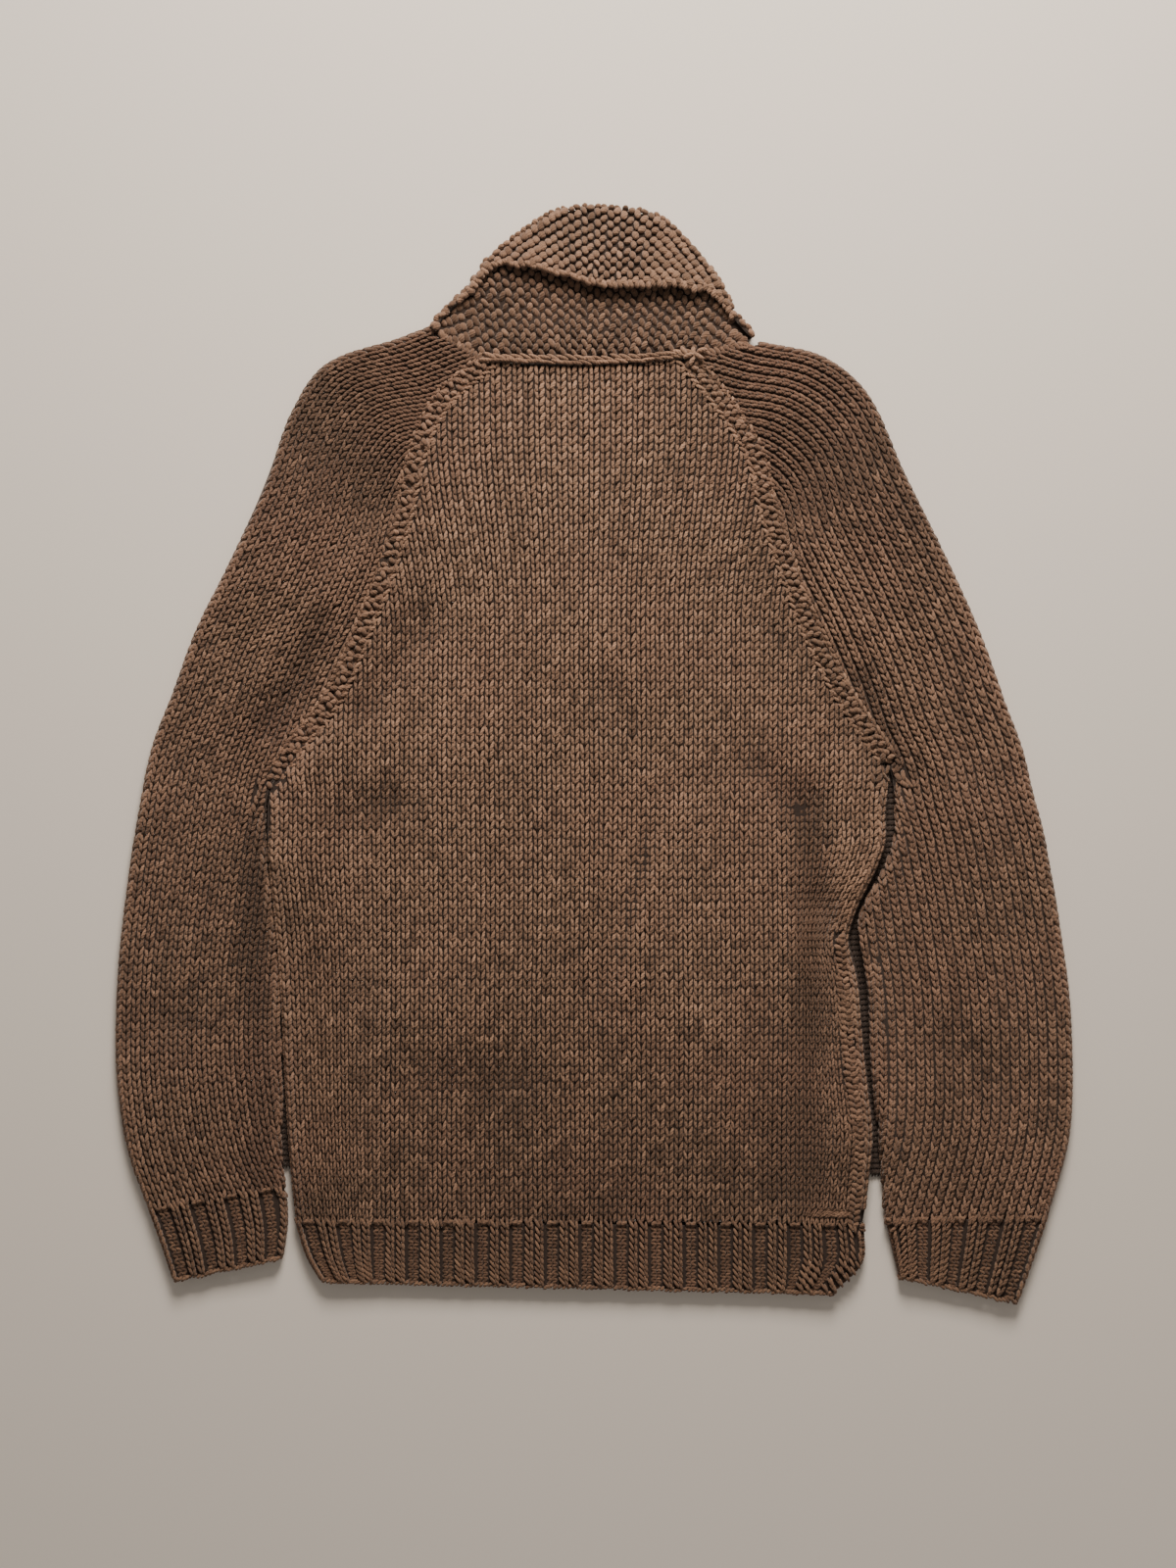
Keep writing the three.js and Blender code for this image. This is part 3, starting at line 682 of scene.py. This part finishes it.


# The sleeve, rib and collar wools are darker copies of the knit wool: painted shade.
KNIT_WOOL = wool("wool_knit", (0.084, 0.043, 0.023), (0.312, 0.176, 0.105), (0.256, 0.128, 0.079))
SLEEVE_WOOL = wool("wool_sleeve", (0.068, 0.034, 0.018), (0.262, 0.144, 0.085), (0.216, 0.106, 0.066))
RIB_WOOL = wool("wool_rib", (0.060, 0.029, 0.015), (0.215, 0.117, 0.066), (0.178, 0.087, 0.052))
COLLAR_WOOL = wool("wool_collar", (0.074, 0.038, 0.020), (0.276, 0.153, 0.091), (0.228, 0.112, 0.069))
# The core wool is near black: painted shade for the gaps between stitches and for the slots beside the
# sleeves.
CORE_PAINTED_SHADE_WOOL = wool("wool_core_painted_shade", (0.020, 0.011, 0.007), (0.038, 0.022, 0.014), (0.032, 0.018, 0.012))


# ---- the cloth behind the stitches, whose near-black colour is painted shade
ON_FLOOR = ("floor",)
FRONTS = ("front_left_cloth", "front_right_cloth", "shawl_band_left_cloth", "shawl_band_right_cloth")
FRONT_RIBS = ("front_hem_rib_left_cloth", "front_hem_rib_right_cloth")
# Each knitted piece: its slot, the flat width and length of its cut, how it lies and what on.
CLOTH_PIECES = {
    "back": ("knit", 0.470, 0.640, "laid", FRONTS),
    "front_left": ("knit", 0.215, 0.640, "laid", ON_FLOOR),
    "front_right": ("knit", 0.195, 0.640, "laid", ON_FLOOR),
    "shawl_band_left": ("collar", 0.052, 0.680, "laid", ON_FLOOR),
    "shawl_band_right": ("collar", 0.052, 0.680, "laid", ON_FLOOR),
    "back_hem_rib": ("rib", 0.430, 0.052, "laid", FRONT_RIBS),
    "front_hem_rib_left": ("rib", 0.190, 0.052, "laid", ON_FLOOR),
    "front_hem_rib_right": ("rib", 0.180, 0.052, "laid", ON_FLOOR),
    "sleeve_left": ("knit", 0.245, 0.720, "folded", ON_FLOOR),
    "sleeve_right": ("knit", 0.290, 0.720, "folded", ON_FLOOR),
    "cuff_left": ("rib", 0.210, 0.056, "folded", ON_FLOOR),
    "cuff_right": ("rib", 0.240, 0.062, "folded", ON_FLOOR),
    "collar": ("collar", 0.270, 0.175, "folded", ON_FLOOR),
}


def vectors_of(collection, field):
    values = np.empty(len(collection) * 3, np.float32)
    collection.foreach_get(field, values)
    return values.reshape(-1, 3)


def shell(node):
    """A smooth sheet on a node's form, a little inside it, behind its stitches, in near-black wool that is
    painted shade for the gaps between them.
    """
    mesh = NODES[node].data.copy()
    piece = new_object(f"{node}_cloth", mesh)
    mesh.materials.clear()
    mesh.materials.append(CORE_PAINTED_SHADE_WOOL)
    weld = piece.modifiers.new("weld", "WELD")
    weld.merge_threshold = 0.02 * MM
    smooth = piece.modifiers.new("smooth", "SUBSURF")
    smooth.levels = smooth.render_levels = 1
    bpy.context.view_layer.update()
    ready = bpy.data.meshes.new_from_object(piece.evaluated_get(bpy.context.evaluated_depsgraph_get()))
    piece.modifiers.clear()
    piece.data = ready
    spots = vectors_of(ready.vertices, "co")
    inset = vectors_of(ready.vertex_normals, "vector") * SHELL_INSET
    others = node_tree([name for name in NODES if name != node])[0]
    for k, spot in enumerate(spots):
        meeting = others.find_nearest(Vector(spot), 2.2 * MM)[0]
        if meeting is not None:
            inset[k, :2] = 0
    spots = spots - inset
    if node in FOLDED:
        spots[:, 2] += folds(spots[:, :2])[0] * smooth_step((spots[:, 2] - 3 * MM) / (3 * MM))
    ready.vertices.foreach_set("co", spots.astype(np.float32).ravel())
    ready.polygons.foreach_set("use_smooth", np.ones(len(ready.polygons), bool))
    ready.update()
    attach(piece, "root")
    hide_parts(node)
    return piece


# ---- stitches, part by part
def seam_points(side, step=2 * MM):
    points = np.array(RAGLAN[side], float) * MM
    keys = running_length(points)
    return spline(keys, points, np.arange(0, keys[-1] + step, step))


SEAMS = {side: seam_points(side) for side in SIDES}
STITCHED = ("back", "sleeve_left", "sleeve_right", "back_hem_rib", "cuff_left", "cuff_right")
HEIGHTS = {name: Height(name) for name in STITCHED}
BODY_SPAN = (-0.252, 0.238, WALE, 0.0, 0.640, ROW)


def from_raglans(xy):
    return np.min([line_distance(xy, line) for line in SEAMS.values()], axis=0)


def knit_back():
    yarn = Yarn("fine")
    surface = Body(HEIGHTS["back"])
    a, b = lattice(*BODY_SPAN)
    spots = spots_on(surface, a, b, UP)
    xy = spots.place[:, :2]
    keep = topmost(spots.place, {"back"}) & (from_raglans(xy) > SEAM_BAND) & surface.holds(a, b)
    spots = spots.only(keep & (line_distance(xy, SIDE_SEAM) > 2.6 * MM))
    xy, y = spots.place[:, :2], spots.place[:, 1]
    # Painted shade: the back's stitches are darkened towards the bottom, beside the raglans and in the
    # folds' troughs.
    low, beside_seam = smooth_step((-0.08 - y) / 0.24), smooth_step(1 - from_raglans(xy) / 0.05)
    shade = 0.18 * low + 0.16 * beside_seam
    knit_legs(yarn, spots, shade + folds(xy)[1], smooth_step((0.17 - y) / 0.24))
    return yarn.write("back_stitches", KNIT_WOOL, "knit")


def knit_front(side):
    """A front, seen from below."""
    surface = Body()
    a, b = lattice(*BODY_SPAN)
    spots = spots_on(surface, a, b, -UP)
    keep = topmost(spots.place, {f"front_{side}"}, side=-1) & surface.holds(a, b)
    yarn = Yarn("plain")
    knit_legs(yarn, spots.only(keep))
    return yarn.write(f"front_{side}_stitches", KNIT_WOOL, "knit")


def tube_spots(surface, a, b):
    """Spots on a tube, looking out of it all round."""
    _, inward, _ = surface.row(b)
    hint = np.column_stack([np.zeros((len(a), 2)), np.sign(a)])
    _, fold, seam = surface.near(a, b)
    hint[fold, :2] = -inward[fold]
    hint[seam, :2] = inward[seam]
    return spots_on(surface, a, b, hint)


def joint_line(side):
    """Where a sleeve's top edge meets the collar."""
    return np.array([SEAMS[side][0], np.array(COLLAR[0 if side == "left" else -1][:2]) * MM])


def knit_sleeve(side):
    node = f"sleeve_{side}"
    surface = Tube(SLEEVE_ROWS[side], 9, HEIGHTS[node])
    a, b = lattice(-22 * WALE, 22 * WALE, WALE, 0.0, surface.length + 0.3 * ROW, ROW)
    inside = np.abs(a) < surface.around(b) + 0.1 * WALE
    a, b = a[inside], b[inside]
    spots = tube_spots(surface, a, b)
    xy = spots.place[:, :2]
    clear = line_distance(xy, SEAMS[side]) > SEAM_BAND * 0.85
    start, end = joint_line(side)
    joint = unit(end - start)
    clear &= (xy - start) @ np.array([joint[1], -joint[0]]) * -SIDES[side] < -1.0 * MM
    shown = a > -1.6 * WALE
    top, under = Yarn("fine"), Yarn("plain")
    seen = spots.only(clear & shown)
    # Painted shade: the sleeve's top stitches are darkened a little all over, much more towards the
    # shoulder, and in the folds' troughs.
    shoulder = smooth_step((seen.place[:, 1] - 0.10) / 0.13)
    knit_legs(top, seen, 0.06 + 0.30 * shoulder + folds(seen.place[:, :2])[1])
    knit_legs(under, spots.only(clear & ~shown))
    return (top.write(f"{node}_stitches", SLEEVE_WOOL, "knit")
            + under.write(f"{node}_under_stitches", SLEEVE_WOOL, "knit"))


# Rows of filler beside a front's edge: how far out and how high, in mm.
UNDERLAP = ((0.8, 2.6), (3.4, 2.0), (5.6, 1.7), (7.8, 1.6))


def side_underlap(side):
    """Filler beside a front's side edge, which shows in the slot beside the sleeve, in near-black wool:
    painted shade for the slot.
    """
    surface = Body()
    yarn = Yarn("plain")
    y = np.arange({"left": -0.300, "right": -0.306}[side], -0.006, 4 * MM)
    for out, height in UNDERLAP:
        x = surface.edge(side, y) + SIDES[side] * out * MM
        place = np.column_stack([x, y, np.full(len(y), height * MM)])
        yarn.add(place, (0.15, 1.0, 0.0), UP, 8.0 * MM, 4.4 * MM, 3.0 * MM, tone=one_tone(len(y)))
    return yarn.write(f"side_underlap_{side}", CORE_PAINTED_SHADE_WOOL, "knit")


# A rib's repeat: where its knit legs stand, how they lean and start, and where its purl ladders are.
RIB_LEGS = ((-0.21, -0.18, 0.1), (-0.085, 0.16, 0.35), (0.085, -0.18, 0.1), (0.21, 0.16, 0.35))
RIB_LADDERS = (0.43, 0.57)


def rib_tube(name, surface):
    """Knit 2, purl 2 round a tube: raised pairs of wales and sunken ladders of short bars, darkened with
    painted shade.
    """
    knit, purl = Yarn("fine"), Yarn("fat")
    length = surface.length - 1.0 * MM
    rows = max(int(round(length / RIB_ROW)), 2)
    row = length / rows
    around = float(surface.around(np.array([0.0]))[0])
    repeats = max(int(round(2 * around / RIB_REPEAT)), 2)
    for k in range(-(repeats // 2), repeats - repeats // 2):
        for offset, slant, start in RIB_LEGS:
            share, b = (k + offset) * 2 / repeats, (np.arange(rows) + start) * row
            rib_strands(knit, surface, share, b, slant, row * 1.55, 2.95 * MM, 0.9 * MM)
        for offset in RIB_LADDERS:
            share = (k + offset) * 2 / repeats
            # The sunken ladder bars carry painted shade.
            for start, slant in ((0.3, 1.5), (0.8, -1.5)):
                b = (np.arange(rows) + start) * row
                rib_strands(purl, surface, share, b, slant, 5.4 * MM, 2.7 * MM, -0.9 * MM, shade=0.22)
            top = np.array([-0.1]) * row
            rib_strands(purl, surface, share, top, 2.0, 5.0 * MM, 3.2 * MM, 0.9 * MM)
    cast_on(purl, surface, around)
    return knit.write(f"{name}_knit", RIB_WOOL, "rib") + purl.write(f"{name}_purl", RIB_WOOL, "rib")


def rib_strands(yarn, surface, share, b, slant, length, width, raise_by, shade=0.0):
    """Strands at one share of the way round a tube, or at a share for each."""
    share = np.clip((np.broadcast_to(share, b.shape) + 1) % 2 - 1, -0.9999, 0.9999)
    spots = tube_spots(surface, surface.column(share, b), b)
    count = len(b)
    lean = (slant * (1 + jitter(count, 0.12)))[:, None]
    direction = unit(spots.along + spots.across * lean - spots.normal * 0.1)
    yarn.add(spots.place + spots.normal * (raise_by - YARN_SINK), direction, spots.normal,
             length * (1 + jitter(count, 0.05)), width * (1 + jitter(count, 0.06)), 3.1 * MM,
             tone=one_tone(count, shade))


def cast_on(yarn, surface, around):
    """The cast-on edge: a row of slanted loops along the rim."""
    share = np.arange(-1, 1, 3.4 * MM / around)
    b = np.full(len(share), surface.length - 0.6 * MM) + jitter(len(share), 0.5 * MM)
    rib_strands(yarn, surface, share, b, 1.5, 5.2 * MM, 2.7 * MM, 0.1 * MM)


def moss_bumps(bumps, spots, odd, shade):
    """Moss stitch: plump upright bumps, each lower end lying over the next."""
    count = len(spots)
    nudge = spots.across * jitter(count, 0.3 * MM)[:, None]
    nudge = nudge + spots.along * jitter(count, 0.35 * MM)[:, None]
    lean = (np.where(odd, -0.34, 0.52) + jitter(count, 0.16))[:, None]
    direction = unit(spots.along + spots.across * lean - spots.normal * 0.5)
    bumps.add(spots.place + nudge - spots.normal * 0.9 * MM, direction, spots.normal,
              length=7.7 * MM * (1 + jitter(count, 0.09)),
              width=4.7 * MM * spots.wide * (1 + jitter(count, 0.09)),
              thick=4.3 * MM, bow=-0.1, tone=one_tone(count, shade))


def brick_lattice(a_from, a_to, rows):
    """Places of bumps: alternate columns set half a step along."""
    spots = []
    for k in range(rows):
        a = np.arange(a_from + (k % 2) * MOSS_ACROSS / 2, a_to, MOSS_ACROSS)
        spots.append(np.column_stack([a, np.full(len(a), (k + 0.5) * MOSS_UP / 2), np.full(len(a), k % 2)]))
    a, b, odd = np.concatenate(spots).T
    return a, b, odd > 0


def knit_collar():
    bumps = Yarn("plump")
    stand, fall = CollarSheet(0.45), CollarSheet(0.85)
    a, b, odd = brick_lattice(1.5 * MM, stand.length - 1 * MM, 34)
    reach, bend, _ = stand.around(a)
    keep = b + 1 * MM < reach
    # Painted shade: the stand's bumps, under the fall, are darkened much, the fall's a little.
    moss_bumps(bumps, spots_on(stand, a[keep], b[keep] + 0.5 * MM, UP), odd[keep], shade=0.22)
    low_end = (a < fall.keys[2]) | (a > fall.keys[10])
    rim = low_end & ~keep & (b < reach + 0.45 * bend)
    moss_bumps(bumps, laid_flat(spots_on(stand, a[rim], b[rim], UP)), odd[rim], shade=0.22)
    a, from_edge, odd = brick_lattice(1 * MM, fall.length - 1 * MM, 20)
    reach, bend, depth = fall.around(a)
    b = reach + bend + depth - from_edge - 2.0 * MM
    keep = b > reach + 0.3 * bend
    a, b, odd = a[keep], b[keep], odd[keep]
    moss_bumps(bumps, spots_on(fall, a, b, fall.outward(a, b)), odd, shade=0.06)
    free_edge(bumps, fall)
    for side in SIDES:
        collar_joint(bumps, side)
    return bumps.write("collar_bumps", COLLAR_WOOL, "collar")


def laid_flat(spots):
    """The same places moved up or down on to the top of the cloth, looking up."""
    place = np.column_stack([spots.place[:, :2], cloth_top(spots.place[:, :2])])
    across = unit(spots.across * [1, 1, 0])
    return Spots(place, across, np.cross(UP, across), UP, spots.wide, spots.tall)


def collar_joint(yarn, side):
    """The stitches that join the collar's end to the top of a sleeve, darkened with painted shade."""
    start, end = joint_line(side)
    end = end + unit(end - start) * 3 * MM
    place, across, along = line_frames([start, end], 3.6 * MM, 1 * MM)
    count = len(place)
    direction = unit(across + along * (0.7 + jitter(count, 0.2))[:, None])
    yarn.add(place - UP * 1.0 * MM, direction, UP, 7.4 * MM, 3.8 * MM, 4.0 * MM,
             bow=0.2, tone=one_tone(count, 0.2))


def free_edge(yarn, fall):
    """The plump edge of the fall: slanted strands side by side, lightened as a painted highlight."""
    a = np.arange(fall.keys[1] + 8 * MM, fall.keys[10], 4.5 * MM)
    reach, bend, depth = fall.around(a)
    spots = spots_on(fall, a, reach + bend + depth - 1.3 * MM, UP)
    count = len(a)
    direction = unit(spots.across - spots.along * (1.2 + jitter(count, 0.35))[:, None])
    nudge = jitter(count, 0.5 * MM)[:, None] * spots.across + jitter(count, 0.6 * MM)[:, None] * spots.along
    yarn.add(spots.place + nudge - spots.normal * 1.1 * MM, direction, spots.normal,
             7.4 * MM, 4.7 * MM, 5.2 * MM, tone=one_tone(count, -0.12))


def moss_underneath():
    """The collar and front bands, seen from below."""
    columns = np.arange(-0.24, 0.24, MOSS_ACROSS)
    spots = []
    for k, y in enumerate(np.arange(-0.40, 0.405, MOSS_UP / 2)):
        spots.append(np.column_stack([columns + (k % 2) * MOSS_ACROSS / 2, np.full(len(columns), y)]))
    xy = np.concatenate(spots)
    xy = xy[topmost(xy, {"collar", "shawl_band_left", "shawl_band_right"}, side=-1)]
    place = np.column_stack([xy, np.full(len(xy), 1.3 * MM)])
    yarn = Yarn("fine")
    yarn.add(place, (1.0, 0.4, 0.0), -UP, 5.9 * MM, 4.1 * MM, 3.0 * MM, tone=one_tone(len(xy)))
    return yarn.write("band_under_bumps", COLLAR_WOOL, "collar")


def cloth_top(xy):
    """The height of the top of all the cloth."""
    ray = Vector((0, 0, -1))
    hits = [ALL_TREE.ray_cast(Vector((x, y, RAY_START)), ray)[0] for x, y in xy]
    return np.array([FLAT_TOP if hit is None else hit.z for hit in hits])


def line_frames(line, step, start=0.0, height=None):
    """Places at even steps along a line, at one height or on top of the cloth, and the ways there."""
    line = np.asarray(line, float)
    keys = running_length(line)
    at = np.arange(start, keys[-1], step)
    xy = spline(keys, line, at)
    ahead = spline(keys, line, np.minimum(at + MM, keys[-1])) - spline(keys, line, np.maximum(at - MM, 0))
    ahead, level = unit(ahead), np.zeros(len(xy))
    place = np.column_stack([xy, cloth_top(xy) if height is None else level + height])
    across = np.column_stack([ahead[:, 1], -ahead[:, 0], level])
    return place, across, np.column_stack([ahead, level])


# The strands of a raglan line. Offsets to the sleeve's side and sizes are in mm.
RAGLAN_REPEAT = 11.6 * MM
# Bars in each repeat: start, offset, slant, length, width and how far they stand out.
RAGLAN_BARS = (
    (1.5, -1.8, 0.9, 6.2, 4.4, 1.2), (4.4, 2.1, -0.9, 6.4, 4.4, 1.4), (7.4, -2.2, -0.6, 6.4, 4.1, 0.9),
    (10.2, 2.0, 0.8, 6.2, 4.0, 0.8), (3.2, -4.6, 1.5, 6.2, 3.1, -0.1), (8.8, 4.6, -1.5, 6.2, 3.1, 0.0),
)
RAGLAN_UNDER = ((-3.9, 1.1), (0.2, -1.0), (4.1, 1.0))  # offset and lean
RAGLAN_CHAIN = ((-6.3, 0.32), (6.4, -0.5))  # offset and lean


def raglan_band(side):
    """The textured line of a raglan: bars over an under-row, both darkened with painted shade (the
    under-row most, for its pits), and a chain at each side.
    """
    bars, chain = Yarn("fat"), Yarn("fine")
    outward = SIDES[side]
    for start, offset, slant, length, width, raise_by in RAGLAN_BARS:
        place, across, along = line_frames(SEAMS[side], RAGLAN_REPEAT, start * MM, FLAT_TOP)
        count = len(place)
        aside = offset * MM + jitter(count, 0.7 * MM)
        place += across * outward * aside[:, None] + along * jitter(count, 0.9 * MM)[:, None]
        place[:, 2] += raise_by * MM
        direction = unit([1.0 * outward, 0.15, 0.0] + along * (slant + jitter(count, 0.4))[:, None])
        bars.add(place - UP * 0.9 * MM, direction, UP, length * MM * (1 + jitter(count, 0.08)),
                 width * MM, 3.8 * MM, bow=0.2, tone=one_tone(count, 0.1))
    for offset, lean in RAGLAN_UNDER:
        place, across, along = line_frames(SEAMS[side], 5.1 * MM, (offset + 4) * 0.4 * MM, 7.6 * MM)
        count = len(place)
        place += across * (offset * outward * MM + jitter(count, 0.5 * MM))[:, None]
        direction = unit(along + across * (lean + jitter(count, 0.35))[:, None])
        bars.add(place - UP * 0.9 * MM, direction, UP, 7.2 * MM, 3.9 * MM, 3.6 * MM,
                 bow=0.2, tone=one_tone(count, 0.35))
    for offset, lean in RAGLAN_CHAIN:
        place, across, along = line_frames(SEAMS[side], ROW, height=8.4 * MM)
        count = len(place)
        across = across * outward
        direction = unit(along + across * (lean + jitter(count, 0.08))[:, None] - UP * 0.12)
        chain.add(place + across * (offset * MM) - UP * 0.5 * MM, direction, UP,
                  8.6 * MM, 3.3 * MM, 3.4 * MM, tone=one_tone(count))
    return (bars.write(f"raglan_{side}_bars", COLLAR_WOOL, "knit")
            + chain.write(f"raglan_{side}_chain", KNIT_WOOL, "knit"))


def neck_cord():
    """The bound-off ridge along the back of the neck, a chain of long strands with a knot at its end."""
    yarn = Yarn("plump")
    for offset, slant, start in ((1.5, 0.22, 0.0), (-1.5, 0.34, 3.2)):
        place, across, along = line_frames(NECK_LINE, 6.6 * MM, start * MM, NECK_TOP)
        count = len(place)
        place = place + across * (offset * MM + jitter(count, 0.3 * MM))[:, None]
        place = place + UP * jitter(count, 0.3 * MM)[:, None]
        yarn.add(place, along + across * (slant + jitter(count, 0.12))[:, None], UP,
                 10.8 * MM, 3.0 * MM * (1 + jitter(count, 0.1)), 3.6 * MM, tone=one_tone(count))
    x, y, turn = np.array(KNOT).T
    place = np.column_stack([x * MM, y * MM, NECK_TOP + MM * (0.8 + np.sin(3 * turn))])
    yarn.add(place, np.column_stack([np.cos(turn), np.sin(turn), 0.2 * np.sin(3 * turn)]), UP,
             8.4 * MM, 3.6 * MM, 3.8 * MM, bow=0.3, tone=np.full(len(KNOT), 0.75))
    return yarn.write("neck_seam_cord", COLLAR_WOOL, "collar")


def side_seam():
    """The mattress-stitched seam that rolls on to the back at the right side, its strands darkened with
    painted shade.
    """
    yarn = Yarn("fat")
    for offset, slant, start in ((-1.9, 0.8, 0.0), (1.9, -0.7, 2.9)):
        place, across, along = line_frames(SIDE_SEAM, 4.6 * MM, start * MM)
        count = len(place)
        place = place + across * (offset * MM + jitter(count, 0.5 * MM))[:, None] - UP * 1.0 * MM
        yarn.add(place, across + along * (slant + jitter(count, 0.3))[:, None], UP,
                 6.6 * MM, 4.2 * MM, 4.2 * MM, bow=0.2, tone=one_tone(count, 0.18))
    return yarn.write("side_seam_stitches", KNIT_WOOL, "knit")


def floor_material():
    material = bpy.data.materials.new("floor")
    material.use_nodes = True
    tree = material.node_tree
    shader = tree.nodes["Principled BSDF"]
    set_inputs(tree, shader, {"Base Color": (0.650, 0.570, 0.487, 1), "Roughness": 0.9})
    return material


def add_area(name, place, target, size, power, tint):
    light = bpy.data.lights.new(name, "AREA")
    light.size, light.energy, light.color = size, power, tint
    lamp = new_object(name, light)
    lamp.location = place
    lamp.rotation_euler = (Vector(target) - Vector(place)).to_track_quat("-Z", "Y").to_euler()


def floor_and_light():
    corners = [(-3, -3), (3, -3), (3, 3), (-3, 3)]
    verts = [(x, y, -0.5 * MM) for x, y in corners]
    floor = mesh_object("floor", verts, np.array([(0, 1, 2, 3)]), floor_material(), smooth=False)
    add_area("window", (0.12, 1.35, 1.0), (0, 0.1, 0), 0.7, 53, (1.0, 0.96, 0.915))
    add_area("fill", (0.6, -0.8, 2.6), (0, 0, 0), 2.4, 10, (1.0, 0.965, 0.93))
    world = bpy.data.worlds.new("world")
    bpy.context.scene.world = world
    world.use_nodes = True
    tree = world.node_tree
    set_inputs(tree, tree.nodes["Background"], {"Color": (1.0, 0.98, 0.95, 1), "Strength": 0.2})


def add_camera():
    """Straight down on the cardigan, with the collar at the top of the picture."""
    height, distance, centre = 1.152, 1.7, (-4.3 * MM, -21.2 * MM)
    data = bpy.data.cameras.new("camera")
    data.sensor_fit = "VERTICAL"
    data.sensor_height = 24
    data.lens = 24 * distance / height
    camera = new_object("camera", data)
    camera.location = (*centre, distance)
    bpy.context.scene.camera = camera


stitches = {name: [] for name in NODES}
stitches["back"] = knit_back() + side_seam()
stitches["collar"] = knit_collar()
stitches["neck_seam"] = neck_cord()
for half in SIDES:
    stitches[f"front_{half}"] = knit_front(half)
for half in SIDES:
    stitches[f"front_{half}"] += side_underlap(half)
stitches["shawl_band_left"] = moss_underneath()
for half in SIDES:
    stitches[f"sleeve_{half}"] = knit_sleeve(half) + raglan_band(half)
    stitches[f"cuff_{half}"] = rib_tube(f"cuff_{half}", Tube(CUFF_ROWS[half], 0, HEIGHTS[f"cuff_{half}"]))
stitches["back_hem_rib"] = rib_tube("hem", HemTube(HEM_ROWS, 0, HEIGHTS["back_hem_rib"]))
for cord in stitches["neck_seam"]:
    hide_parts("neck_seam")
for node_name, (slot_name, width, length, held, rests_on) in CLOTH_PIECES.items():
    cloth = shell(node_name)
floor_and_light()
add_camera()
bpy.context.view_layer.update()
